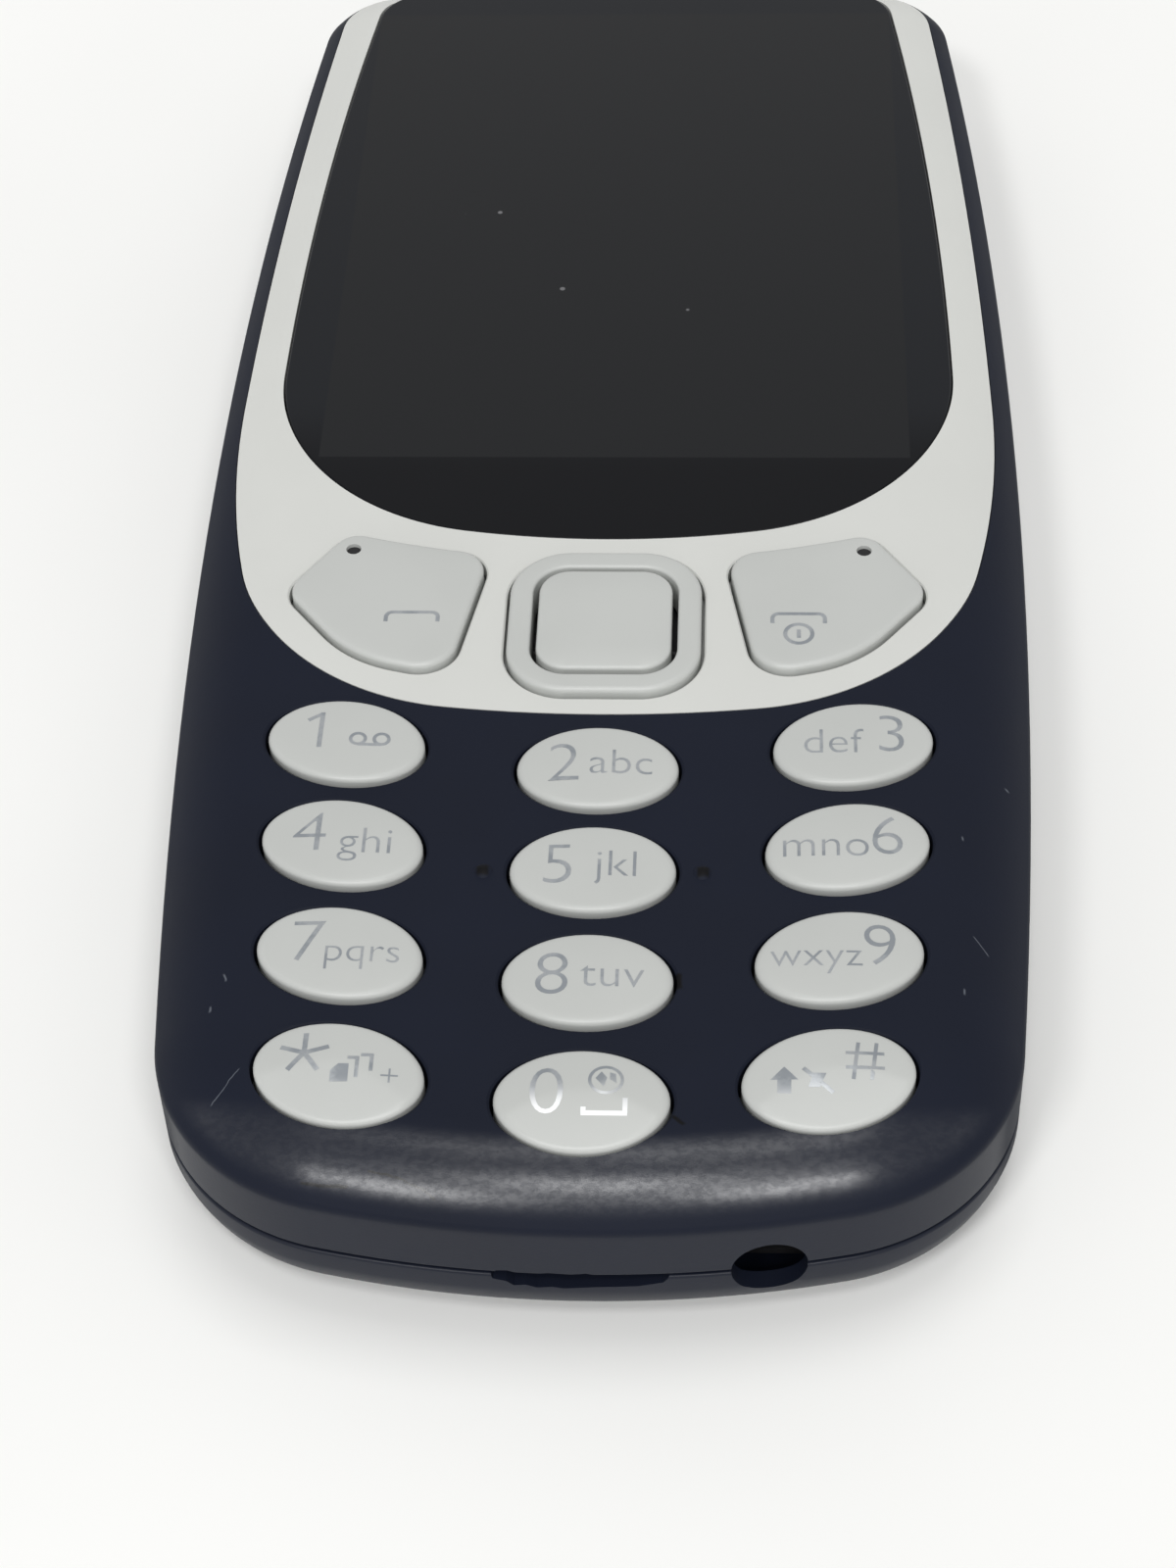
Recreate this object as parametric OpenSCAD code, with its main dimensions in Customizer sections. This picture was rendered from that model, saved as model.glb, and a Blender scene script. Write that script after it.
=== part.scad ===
// Candybar feature phone: a bowed shell with a pale display fascia, an oval keypad and a removable back.
// Millimetres. The phone lies on its back: +X right, +Y towards the earpiece, +Z out of its face.

/* [Body] */
// Width at the widest point, half way along
body_w = 51; // [49:0.5:55]
// Length from end to end
body_l = 115.6; // [114:0.2:122]
// Radius of the bowed sides
side_r = 495; // [350:5:900]
// Radius of the top end
top_end_r = 58; // [50:1:80]
// Radius of the bottom end
bottom_end_r = 66; // [55:1:90]
// Radius of the two top corners
top_corner_r = 5.6; // [5.4:0.1:7]
// Radius of the two bottom corners
bottom_corner_r = 11.9; // [9:0.1:14]
// Height of the flat front face above the back
face_z = 12.1; // [11.9:0.1:13.5]
// Width of the rounded border of the front face
face_edge_w = 4.7; // [4:0.1:4.8]
// Height of the crease where the rounded border meets the side wall
crease_z = 9.5; // [9:0.1:10.5]
// Height of the parting line between the two covers
parting_z = 5.6; // [5:0.1:5.8]
// Open seam at the parting line
parting_gap = 0.25; // [0.2:0.05:0.5]
// Width of the rear cover's rolled edge
rear_edge_w = 4.8; // [4:0.1:4.9]
// Height of the rear cover's rolled edge
rear_edge_h = 4.4; // [4:0.1:4.8]
// Wall of the front cover
front_wall = 1.5; // [1.4:0.1:1.8]
// Wall of the rear cover
rear_wall = 1; // [0.8:0.1:1.2]

/* [Fascia and display window] */
// Thickness of the fascia
fascia_t = 0.9; // [0.7:0.05:1]
// Rim of front cover left outside the fascia
fascia_inset = 1.4; // [1.2:0.1:2]
// Ledge of the front cover under the fascia's edge
fascia_ledge = 0.8; // [0.6:0.1:1]
// Glue line under the fascia and the joint round it
glue_gap = 0.06; // [0.04:0.01:0.1]
// Height along the phone where the fascia starts to draw in
fascia_mid_y = 5; // [2:0.5:8]
// Radius of the fascia's flanks below that height
fascia_flank_r = 70; // [60:1:90]
// Lowest point of the fascia
fascia_low_y = -23; // [-23.5:0.1:-22.5]
// Radius of the fascia's lower edge
fascia_low_r = 76; // [60:1:90]
// Radius of the fascia's lower corners
fascia_corner_r = 15.4; // [13:0.1:17]
// Half width of the window at its widest
window_half_w = 21.5; // [21:0.1:21.8]
// Height along the phone of the window's widest point
window_mid_y = 6.7; // [5:0.1:9]
// Radius of the window's sides
window_side_r = 329; // [250:1:400]
// Lowest point of the window
window_low_y = -7.9; // [-8:0.1:-7]
// Radius of the window's lower edge
window_low_r = 52.5; // [46:0.5:60]
// Radius of the window's lower corners
window_low_c = 15.2; // [13:0.1:17]
// Highest point of the window
window_top_y = 54.3; // [54:0.1:54.8]
// Radius of the window's upper edge
window_top_r = 66; // [50:1:90]
// Radius of the window's upper corners
window_top_c = 3.6; // [3:0.1:5]
// Thickness of the window
window_t = 0.9; // [0.7:0.05:1]
// Step from the front face down to the window
window_step = 0.12; // [0.05:0.01:0.2]
// Gap round the window
window_gap = 0.1; // [0.06:0.01:0.2]
// Length of the earpiece slot
ear_slot_l = 9; // [7:0.5:10]
// Width of the earpiece slot
ear_slot_w = 1; // [0.8:0.05:1.1]
// Distance from the window's top to the earpiece slot
ear_slot_in = 1.25; // [1.2:0.05:1.9]
// Distance from the window's top to the middle of the earpiece
ear_in = 1.9; // [1.6:0.1:2.2]

/* [Number keys] */
// Length of a key across the phone
key_l = 9.22; // [8.4:0.1:9.6]
// Width of a key along the phone
key_w = 6.32; // [5.6:0.1:6.6]
// Height of a key above the front face
key_proud = 0.5; // [0.3:0.05:0.7]
// Radius of a key's domed top
key_dome_r = 40; // [30:1:80]
// Bevel round a key's top
key_bevel = 0.3; // [0.2:0.05:0.35]
// Radius at which the last row's keys roll off with the body's end
key_roll_r = 22; // [20:1:30]
// Distance from a last-row key's middle up to where its roll starts
key_roll_y = 0.5; // [0:0.1:0.8]
// Travel of a key
key_travel = 0.35; // [0.25:0.05:0.4]
// Gap round a key
key_gap = 0.2; // [0.15:0.01:0.3]
// Reach of the key's hidden flange past its edge
key_flange = 0.6; // [0.4:0.1:0.7]
// Thickness of the flange
key_flange_t = 0.5; // [0.4:0.05:0.6]
// Place along the phone of the middle key of the first row
row_y = -27.5; // [-27.8:0.1:-27.2]
// Step from the first row to the second
row_pitch = 7.77; // [7.7:0.01:7.8]
// Growth of each further step
row_growth = 0.134; // [0.1:0.002:0.16]
// Place across the phone of the first row's outer keys
column_x = 14.54; // [14.2:0.02:14.8]
// Draw of the outer column towards the middle at the second row
column_draw = 0.47; // [0.4:0.01:0.5]
// Growth of that draw from row to row
column_growth = 0.106; // [0.08:0.002:0.12]
// Rise of the first row's outer keys above its middle key
outer_rise = 1.99; // [1.8:0.01:2.2]
// Loss of rise from row to row
outer_rise_loss = 0.13; // [0.1:0.01:0.15]
// Turn of the first row's outer keys
outer_turn = 11.4; // [9:0.1:13]
// Added turn from row to row
outer_turn_step = 0.5; // [0.3:0.1:0.7]
// Radius of the finding pips beside the middle key
pip_r = 0.75; // [0.5:0.05:0.9]
// Height of the pips
pip_h = 0.22; // [0.15:0.01:0.3]
// Gap between the pips and the key beside them
pip_gap = 0.7; // [0.5:0.05:0.9]

/* [Navigation keys] */
// Place along the phone of the navigation ring
nav_y = -15.55; // [-15.8:0.05:-15.3]
// Width of the ring
ring_w = 11.5; // [11:0.1:12]
// Length of the ring
ring_l = 11.9; // [11.4:0.1:12.2]
// Corner radius of the ring
ring_corner_r = 3.6; // [3:0.1:4.2]
// Wall of the ring
ring_wall = 1.4; // [1.2:0.05:1.6]
// Height of the ring above the front face
ring_proud = 0.5; // [0.3:0.05:0.6]
// Gap between the ring and the select key
select_gap = 0.35; // [0.3:0.01:0.45]
// Height of the select key above the front face
select_proud = 0.7; // [0.5:0.05:0.8]
// Radius of the select key's domed top
select_dome_r = 60; // [40:1:90]
// Travel of the select key
select_travel = 0.3; // [0.2:0.05:0.3]
// Chamfer on the edges of the navigation keys
nav_edge = 0.3; // [0.2:0.02:0.4]
// Gap round the ring and the side keys
nav_gap = 0.2; // [0.15:0.01:0.3]
// Reach of the hidden flanges
nav_flange = 0.7; // [0.5:0.05:0.8]
// Thickness of the hidden flanges
nav_flange_t = 0.45; // [0.4:0.05:0.5]
// Room for the flanges to rock under the fascia
nav_rock_gap = 0.5; // [0.48:0.01:0.55]
// Height of a side key above the front face
side_key_proud = 0.5; // [0.3:0.05:0.6]
// Gap between the window and a side key
side_key_window_gap = 2.3; // [2:0.05:2.5]
// Radius of the dimple that marks a side key's outer switch
dimple_r = 0.45; // [0.3:0.05:0.5]

/* [Display] */
// Width of the display module
lcd_w = 38.8; // [38:0.1:39]
// Length of the display module
lcd_l = 53; // [52:0.1:53.2]
// Thickness of the display module
lcd_t = 2.2; // [2:0.05:2.2]
// Upper end of the display module
lcd_top_y = 50; // [49.8:0.1:50.2]
// Width of the gasket round the picture
gasket_w = 0.8; // [0.6:0.05:1]
// Distance from the display module's edge to the gasket
gasket_in = 0.6; // [0.5:0.05:0.8]
// Wall and floor of the display tray
tray_t = 0.6; // [0.5:0.05:0.6]

/* [Board and keypad] */
// Thickness of the main board
board_t = 0.8; // [0.7:0.05:0.8]
// Height of the main board's underside
board_z = 7.2; // [7.1:0.05:7.2]
// Inset of the board and keypad layers from the body's outline
board_inset = 3; // [2.6:0.1:3.4]
// Thickness of the dome sheet
sheet_t = 0.2; // [0.15:0.01:0.2]
// Radius of a switch dome
dome_r = 2; // [1.6:0.1:2.2]
// Height of a switch dome
dome_h = 0.25; // [0.2:0.01:0.25]
// Thickness of the keypad mat's web
mat_t = 0.4; // [0.3:0.02:0.42]
// Height of the mat's skirt above the dome sheet
mat_skirt = 0.55; // [0.5:0.01:0.56]
// Radius of the mat's plungers
plunger_r = 1.1; // [0.8:0.1:1.4]
// Clearance between mating inner pieces
fit_gap = 0.15; // [0.1:0.01:0.2]
// Radius of a screw boss
boss_r = 1.6; // [1.4:0.05:1.8]
// Distance of the screw bosses from the body's outline
boss_inset = 2.8; // [2.6:0.05:2.9]
// Radius of a screw's shank
screw_r = 0.7; // [0.5:0.05:0.8]
// Radius of a screw's head
screw_head_r = 1.3; // [1.1:0.05:1.4]
// Height of a screw's head
screw_head_h = 0.8; // [0.6:0.05:1]
// Length of a screw's shank
screw_l = 2.8; // [2:0.1:3]

/* [Chassis and battery] */
// Thickness of the chassis plate
plate_t = 1; // [0.8:0.05:1]
// Inset of the chassis from the body's outline
chassis_inset = 1.9; // [1.8:0.05:2.1]
// Thickness of the chassis walls
chassis_wall = 1.1; // [0.8:0.05:1.2]
// Height of the chassis's outer wall above the back
chassis_low_z = 2.6; // [2.5:0.05:3]
// Width of the battery
battery_w = 34; // [32:0.5:35]
// Length of the battery
battery_l = 52; // [48:0.5:53]
// Thickness of the battery
battery_t = 4.6; // [4:0.1:4.7]
// Clearance round the battery
battery_gap = 0.3; // [0.2:0.05:0.5]
// Corner radius of the battery
battery_corner_r = 1.5; // [1:0.1:2.5]

/* [Rear cover openings] */
// Place along the phone of the camera
camera_y = 44; // [42:0.5:45]
// Radius of the camera window
camera_window_r = 3.3; // [2.8:0.1:3.6]
// Distance from the camera to the flash lamp
flash_offset = 6.6; // [6.2:0.1:7.5]
// Radius of the flash opening
flash_r = 1.3; // [1:0.1:1.5]
// Gap round the camera window and flash lamp
camera_gap = 0.25; // [0.2:0.01:0.4]
// Number of loudspeaker slots
slot_count = 5; // [3:1:7]
// Length of a loudspeaker slot
slot_l = 6; // [4:0.5:8]
// Width of a loudspeaker slot
slot_w = 1; // [0.8:0.1:1.2]
// Step between loudspeaker slots
slot_pitch = 2.2; // [2:0.1:2.4]
// Length of the thumbnail notch at the bottom end
notch_l = 10; // [8:0.5:12]
// Height of the thumbnail notch
notch_h = 0.9; // [0.6:0.05:1]

/* [Sockets] */
// Place across the phone of the headset jack
jack_x = 9.8; // [9.4:0.1:10.2]
// Height of the headset jack
jack_z = 5.8; // [5.7:0.05:5.85]
// Radius of the headset jack's bore
jack_r = 1.8; // [1.75:0.01:1.85]
// Depth of the headset jack's bore
jack_depth = 14; // [13:0.5:15]
// Wall of the headset jack
jack_wall = 0.4; // [0.3:0.05:0.4]
// Distance from the bottom end to the jack's front
jack_recess = 3.2; // [3:0.1:4]
// Radius of the hole that the two covers leave for the plug
jack_hole_r = 2; // [1.9:0.05:2.3]
// Width of the charging port
usb_w = 7.6; // [7:0.1:8]
// Height of the charging port
usb_h = 2.8; // [2.6:0.05:2.9]
// Depth of the charging port
usb_d = 5.6; // [5:0.1:6]
// Wall of the charging port
usb_wall = 0.35; // [0.3:0.05:0.4]

/* [Hidden] */

NAVY = "#242833";
PALE = "#dcdeda";
KEY_GREY = "#c4c8c4";
BLACK = "#1c1d1f";
BOARD_GREEN = "#2c5a3a";
STEEL = "#b4b7ba";
GOLD = "#c9a24a";
RUBBER = "#8d9092";

$fn = 48;
// Facets on the long shallow arcs
arc_fn = 720;
// How far cutting bodies run past what they cut
cut = 1;

// Slight angle left where two arcs of an outline meet
kink = 5;
// Slight angle left where a rolled edge meets its flat face
skin_slope = 5;
// Reach of the bodies that bound an outline
far = 20;
big = 2 * body_l;

half_w = body_w / 2;
half_l = body_l / 2;
face_edge_h = face_z - crease_z;
cover_low_z = parting_z + parting_gap;
cover_inner_z = face_z - front_wall;
fascia_under_z = face_z - fascia_t;
window_top_z = face_z - window_step;
window_under_z = window_top_z - window_t;

// Layers below the face, from the board up
board_top_z = board_z + board_t;
sheet_top_z = board_top_z + sheet_t;
mat_top_z = sheet_top_z + mat_skirt + mat_t;
lcd_z = board_top_z + tray_t;
lcd_top_z = lcd_z + lcd_t;
lcd_mid_y = lcd_top_y - lcd_l / 2;
plate_z = board_z - plate_t;
battery_z = plate_z - fit_gap - battery_t;

// Key caps
key_half_l = key_l / 2;
key_half_w = key_w / 2;
key_top_z = face_z + key_proud;
key_flange_z = cover_inner_z - fit_gap - key_flange_t;
key_foot_z = mat_top_z + key_travel + fit_gap;
key_foot_r = 1.2;
// Drop of the dome from its middle to the ends of a key
key_dome_drop = key_half_l * key_half_l / (2 * key_dome_r);
nav_flange_z = fascia_under_z - nav_rock_gap - nav_flange_t;
ring_top_z = face_z + ring_proud;
select_w = ring_w - 2 * (ring_wall + select_gap);
select_l = ring_l - 2 * (ring_wall + select_gap);
select_corner_r = ring_corner_r - ring_wall - select_gap;
select_stem_r = 1.6;
select_foot_z = mat_top_z + select_travel + fit_gap;
cradle_t = 0.4;
cradle_z = mat_top_z + 2 * fit_gap;
cradle_w = ring_w - 1;
cradle_hole_r = select_stem_r + 0.8;

// Left key: rounding circles of its outline as [x, y, r], counter-clockwise from the upper outer corner
LEFT_KEY_CORNERS = [
    [-15.0, -9.5, 1.9], [-17.2, -12.9, 1.75], [-14.2, -15.8, 2.4], [-10.9, -17.3, 2.25], [-9.3, -11.6, 1.85]
];
LEFT_SOFT_SWITCH = [-15.5, -9.5];
LEFT_CALL_SWITCH = [-11.4, -15.4];
// Middle of the rocking axis between the two switches, and its turn in plan
LEFT_PIVOT = (LEFT_SOFT_SWITCH + LEFT_CALL_SWITCH) / 2;
LEFT_SPAN = LEFT_CALL_SWITCH - LEFT_SOFT_SWITCH;
LEFT_PIVOT_TURN = 90 + atan2(LEFT_SPAN[1], LEFT_SPAN[0]);
window_low_centre = [0, window_low_y + window_low_r];

// Rows and columns of the keypad
last_row = 3;
ROWS = [0:last_row];
COLUMNS = [-1:1];
function step_sum(n) = n * (n - 1) / 2;
function key_row_y(row) = row_y - row_pitch * row - row_growth * step_sum(row);
function key_x(row, column) = column * (column_x - column_draw * row - column_growth * step_sum(row));
function key_y(row, column) = key_row_y(row) + abs(column) * (outer_rise - outer_rise_loss * row);
function key_turn(row, column) = column * (outer_turn + outer_turn_step * row);

// Distance from the outline at which the front skin, at a depth under it, reaches a height
function skin_in(depth, z) =
    let (r = rim_r(face_edge_w, face_edge_h), rise = z - face_z + r * cos(skin_slope))
    rim_in(face_edge_w, face_edge_h) - sqrt(pow(r - depth, 2) - rise * rise);

// Half width of the body between its corners
function side_x(y) = half_w - side_r + sqrt(side_r * side_r - y * y);
// Radius of a rolled edge of a given width and height, and how far in from the outline its centre lies
function rim_r(w, h) = (w * w + h * h) / (2 * (h * cos(skin_slope) - w * sin(skin_slope)));
function rim_in(w, h) = w + rim_r(w, h) * sin(skin_slope);
// Height of the front skin at a depth under it and a distance from the outline
function skin_z(depth, distance) =
    let (r = rim_r(face_edge_w, face_edge_h), x = rim_in(face_edge_w, face_edge_h) - distance)
    face_z - r * cos(skin_slope) + sqrt(pow(r - depth, 2) - x * x);

BOSS_Y = [24, -21.5, -40];
boss_points = [for (s = [-1, 1], y = BOSS_Y) [s * (side_x(y) - boss_inset), y]];

// Outlines of two bowed sides, two bowed ends and four rounded corners:
// [half width, side radius, middle y, top y, top radius, top corner, low y, low radius, low corner]
BODY = [half_w, side_r, 0, half_l, top_end_r, top_corner_r, -half_l, bottom_end_r, bottom_corner_r];
WINDOW = [
    window_half_w, window_side_r, window_mid_y, window_top_y, window_top_r, window_top_c,
    window_low_y, window_low_r, window_low_c
];
// Only the lower half of the shield bounds the fascia
flank_overlap = 0.05;
SHIELD = [
    side_x(fascia_mid_y) - fascia_inset + flank_overlap, fascia_flank_r, fascia_mid_y,
    2 * fascia_mid_y - fascia_low_y, fascia_low_r, fascia_corner_r,
    fascia_low_y, fascia_low_r, fascia_corner_r
];

// Centre of the corner arc that blends a bowed side into an end, with y counted from the side's middle
function corner_centre(w, r, end_y, end_r, c) =
    let (a = [w - r, 0], b = [0, end_y - end_r], ra = r - c, rb = end_r - c, d = norm(b - a))
    let (e = (ra * ra - rb * rb + d * d) / (2 * d), u = (b - a) / d)
    a + e * u + sqrt(ra * ra - e * e) * [-u[1], u[0]];
function top_corner(o) = corner_centre(o[0], o[1], o[3] - o[2], o[4], o[5] * cos(kink));
function low_corner(o) = corner_centre(o[0], o[1], o[2] - o[6], o[7], o[8] * cos(kink));

// Plan that holds the whole outline but for the sectors that its corner arcs fill
function ray(k, angle) = [k[0] + far * cos(angle), k[1] + far * sin(angle)];
function notch(k, w, r, end_centre) =
    [ray(k, atan2(k[1], k[0] - w + r)), k, ray(k, atan2(k[1] - end_centre, k[0]))];
function flipped(points, sx, sy, y0) = [for (p = points) [sx * p[0], y0 + sy * p[1]]];
function reversed(points) = [for (i = [len(points) - 1:-1:0]) points[i]];
function notched_plan(o) =
    let (t = notch(top_corner(o), o[0], o[1], o[3] - o[2] - o[4]))
    let (b = notch(low_corner(o), o[0], o[1], o[2] - o[6] - o[7]))
    concat(
        flipped(t, 1, 1, o[2]), flipped(reversed(t), -1, 1, o[2]),
        flipped(b, -1, -1, o[2]), flipped(reversed(b), 1, -1, o[2]));

// Plain shapes

// Puts the first child at an outline's top corners and the second at its low ones
module at_corners(o) {
    t = top_corner(o);
    b = low_corner(o);
    for (s = [-1, 1]) {
        translate([s * t[0], o[2] + t[1], 0]) rotate(90 + 135 * s) children(0);
        translate([s * b[0], o[2] - b[1], 0]) rotate(90 + 45 * s) children(1);
    }
}

// Filled outline, drawn in by an inset
module region(o, inset) {
    intersection() {
        translate([o[0] - o[1], o[2]]) circle(o[1] - inset, $fn = arc_fn);
        translate([o[1] - o[0], o[2]]) circle(o[1] - inset, $fn = arc_fn);
        union() {
            translate([0, o[3] - o[4]]) circle(o[4] - inset, $fn = arc_fn);
            translate([-big, o[3] - o[4] - big]) square([2 * big, big]);
        }
        union() {
            translate([0, o[6] + o[7]]) circle(o[7] - inset, $fn = arc_fn);
            translate([-big, o[6] + o[7]]) square([2 * big, big]);
        }
        union() {
            polygon(notched_plan(o));
            at_corners(o) {
                circle(o[5] - inset, $fn = 144);
                circle(o[8] - inset, $fn = 144);
            }
        }
    }
}

// Rounded rectangle about its centre
module round_rect(w, l, r) {
    square([w - 2 * r, l], center = true);
    square([w, l - 2 * r], center = true);
    for (x = [-1, 1], y = [-1, 1]) translate([x * (w / 2 - r), y * (l / 2 - r)]) circle(r);
}

// Plate of rounded rectangle, from a lower to an upper height
module round_plate(w, l, r, low, high) {
    translate([0, 0, low]) linear_extrude(high - low) round_rect(w, l, r);
}

// Box about a point of the plan, from a lower to an upper height
module block(x, y, w, l, low, high) {
    translate([x - w / 2, y - l / 2, low]) cube([w, l, high - low]);
}

// Upright pin about a point of the plan
module pin(x, y, r, low, high) {
    translate([x, y, low]) cylinder(r = r, h = high - low);
}

// Tangent hull of circles [x, y, r] in counter-clockwise order, grown by a margin
module circle_hull(circles, margin) {
    count = len(circles);
    edges = [
        for (i = [0:count - 1])
            let (p = circles[i], q = circles[(i + 1) % count], d = [q[0] - p[0], q[1] - p[1]])
            let (angle = atan2(d[1], d[0]) - acos((p[2] - q[2]) / norm(d)))
            let (out = cos(kink) * [cos(angle), sin(angle)])
            each [[p[0], p[1]] + (p[2] + margin) * out, [q[0], q[1]] + (q[2] + margin) * out]
    ];
    polygon(edges);
    for (c = circles) translate([c[0], c[1]]) circle(c[2] + margin);
}

// The two half shells

// Half section of a disc with a rolled upper edge, its face at height 0 and its skin taken off to a depth
module rolled_section(r, w, h, depth) {
    edge_r = rim_r(w, h);
    x = r - rim_in(w, h);
    z = -edge_r * cos(skin_slope);
    crown = edge_r * (1 - cos(skin_slope)) / 2;
    inner = max(x - edge_r / 2, 0);
    intersection() {
        translate([x, z]) circle(edge_r - depth, $fn = 360);
        translate([inner, z - cut]) square([r - depth - inner, 2 * edge_r]);
    }
    translate([0, -big]) square([x, big - depth + crown]);
    translate([0, -big]) square([r - depth, big + z]);
}

module rolled_disc(r, w, h, depth, start, sweep) {
    rotate_extrude(angle = sweep, start = start, $fn = arc_fn) rolled_section(r, w, h, depth);
}

// Body-shaped solid with a rolled edge of a given width and height, from its face at height 0 down to a reach
module rolled_form(w, h, depth, reach) {
    o = BODY;
    intersection() {
        translate([-big, -big, -reach]) cube([2 * big, 2 * big, reach - depth]);
        translate([o[0] - o[1], o[2], 0]) rolled_disc(o[1], w, h, depth, -20, 40);
        translate([o[1] - o[0], o[2], 0]) rolled_disc(o[1], w, h, depth, 160, 40);
        union() {
            translate([0, o[3] - o[4], 0]) rolled_disc(o[4], w, h, depth, 0, 180);
            translate([-big, o[3] - o[4] + cut - big, -big]) cube([2 * big, big, 2 * big]);
        }
        union() {
            translate([0, o[6] + o[7], 0]) rolled_disc(o[7], w, h, depth, 180, 180);
            translate([-big, o[6] + o[7] - cut, -big]) cube([2 * big, big, 2 * big]);
        }
        union() {
            translate([0, 0, -big]) linear_extrude(2 * big) polygon(notched_plan(o));
            at_corners(o) {
                rolled_disc(o[5], w, h, depth, 0, 360);
                rolled_disc(o[8], w, h, depth, 0, 360);
            }
        }
    }
}

// Solid bounded by the front skin at a depth, down to a height
module front_form(depth, low) {
    translate([0, 0, face_z]) rolled_form(face_edge_w, face_edge_h, depth, face_z - low);
}

// Solid bounded by the rear skin at a depth, up to a height
module rear_form(depth, high) {
    mirror([0, 0, 1]) rolled_form(rear_edge_w, rear_edge_h, depth, high);
}

// Band of the body's plan between two insets
module outline_band(outer, inner) {
    difference() {
        region(BODY, outer);
        region(BODY, inner);
    }
}

// Plan of the fascia, drawn in by an inset
module fascia_plan(inset) {
    intersection() {
        region(BODY, fascia_inset + inset);
        union() {
            region(SHIELD, inset);
            translate([-big, fascia_mid_y]) square([2 * big, big]);
        }
    }
}

// Plan of the left key, grown by a margin
module left_key_plan(margin) {
    difference() {
        circle_hull(LEFT_KEY_CORNERS, margin);
        translate(window_low_centre) circle(window_low_r + side_key_window_gap - margin, $fn = arc_fn);
    }
}

// Oval of a number key's plan, grown by a margin
module key_oval(margin) {
    scale([(key_half_l + margin) / (key_half_w + margin), 1]) circle(key_half_w + margin);
}

// Puts its child at a place of the keypad
module at_key(row, column) {
    translate([key_x(row, column), key_y(row, column), 0]) rotate(key_turn(row, column)) children();
}

// Cylinders round every screw boss
module boss_columns(r, low, high) {
    for (p = boss_points) pin(p[0], p[1], r, low, high);
}

// Plug hole that the two covers share
module jack_hole() {
    translate([jack_x, -half_l + 2 * jack_depth / 3, jack_z]) rotate([90, 0, 0])
        cylinder(r = jack_hole_r, h = jack_depth);
}

// Charging slot that the two covers share
usb_margin = 0.4;
usb_z = board_z - usb_h / 2;
module usb_hole() {
    translate([0, half_l, usb_z]) rotate([90, 0, 0])
        linear_extrude(2 * usb_d, center = true)
            round_rect(usb_w + 2 * usb_margin, usb_h + 2 * usb_margin, 1);
}

// Outside pieces

module front_cover() {
    opening_low = skin_z(front_wall, fascia_inset + fascia_ledge) - 2 * fit_gap;
    boss_top_z = skin_z(front_wall / 2, boss_inset - boss_r);
    color(NAVY) difference() {
        union() {
            difference() {
                front_form(0, cover_low_z);
                front_form(front_wall, cover_low_z - cut);
            }
            boss_columns(boss_r, board_z + glue_gap, boss_top_z);
            for (s = [-1, 1])
                translate([s * (key_half_l + pip_gap + pip_r), key_row_y(1), face_z + pip_h - pip_r])
                    sphere(pip_r);
        }
        difference() {
            linear_extrude(face_z + cut) fascia_plan(-glue_gap);
            front_form(fascia_t + glue_gap, cover_low_z - cut);
        }
        translate([0, 0, opening_low]) linear_extrude(face_z) fascia_plan(fascia_ledge);
        for (row = ROWS, column = COLUMNS)
            at_key(row, column) translate([0, 0, opening_low]) linear_extrude(face_z) key_oval(key_gap);
        boss_columns(screw_r + glue_gap, plate_z, plate_z + screw_l + fit_gap);
        jack_hole();
        usb_hole();
    }
}

module fascia() {
    color(PALE) difference() {
        intersection() {
            front_form(0, cover_inner_z - face_edge_h);
            linear_extrude(face_z + cut) fascia_plan(0);
        }
        front_form(fascia_t, cover_low_z);
        linear_extrude(face_z + cut) region(WINDOW, -window_gap);
        linear_extrude(face_z + cut) translate([0, nav_y])
            round_rect(ring_w + 2 * nav_gap, ring_l + 2 * nav_gap, ring_corner_r + nav_gap);
        for (side = [0, 1])
            mirror([side, 0, 0]) linear_extrude(face_z + cut) left_key_plan(nav_gap);
    }
}

ear_slot_y = window_top_y - ear_slot_in;
module display_window() {
    color(BLACK) difference() {
        translate([0, 0, window_under_z]) linear_extrude(window_t) region(WINDOW, 0);
        translate([0, ear_slot_y])
            round_plate(ear_slot_l, ear_slot_w, 0.45 * ear_slot_w, window_under_z - cut, face_z);
    }
}

module rear_cover() {
    rib_l = 3;
    rib_depth = 0.4;
    slot_r = 0.45 * slot_w;
    color(NAVY) difference() {
        union() {
            difference() {
                rear_form(0, parting_z);
                rear_form(rear_wall, parting_z + cut);
            }
            intersection() {
                translate([0, 0, chassis_low_z]) linear_extrude(parting_z - chassis_low_z)
                    outline_band(rear_wall / 2, rear_wall + rib_depth);
                for (s = [-1, 1], y = [-30, -8, 14, 36])
                    block(s * half_w, y, 4 * rib_l, rib_l, 0, parting_z);
            }
        }
        pin(0, camera_y, camera_window_r + camera_gap, -cut, rear_wall + cut);
        pin(-flash_offset, camera_y, flash_r + camera_gap, -cut, rear_wall + cut);
        for (i = [0:slot_count - 1])
            translate([speaker_x + (i - (slot_count - 1) / 2) * slot_pitch, speaker_y])
                round_plate(slot_w, slot_l, slot_r, -cut, rear_wall + cut);
        block(0, -half_l, notch_l, 4 * rear_wall, parting_z - notch_h, parting_z + cut);
        jack_hole();
        usb_hole();
    }
}

// Keys

// Hidden flange of a number key, cut short where the front cover rolls down to it
module number_key_flange(row, column) {
    inset = skin_in(front_wall + fit_gap, key_flange_z + key_flange_t);
    translate([0, 0, key_flange_z]) linear_extrude(key_flange_t) {
        if (row == last_row) intersection() {
            at_key(row, column) key_oval(key_flange);
            region(BODY, inset);
        }
        else at_key(row, column) key_oval(key_flange);
    }
}

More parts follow.
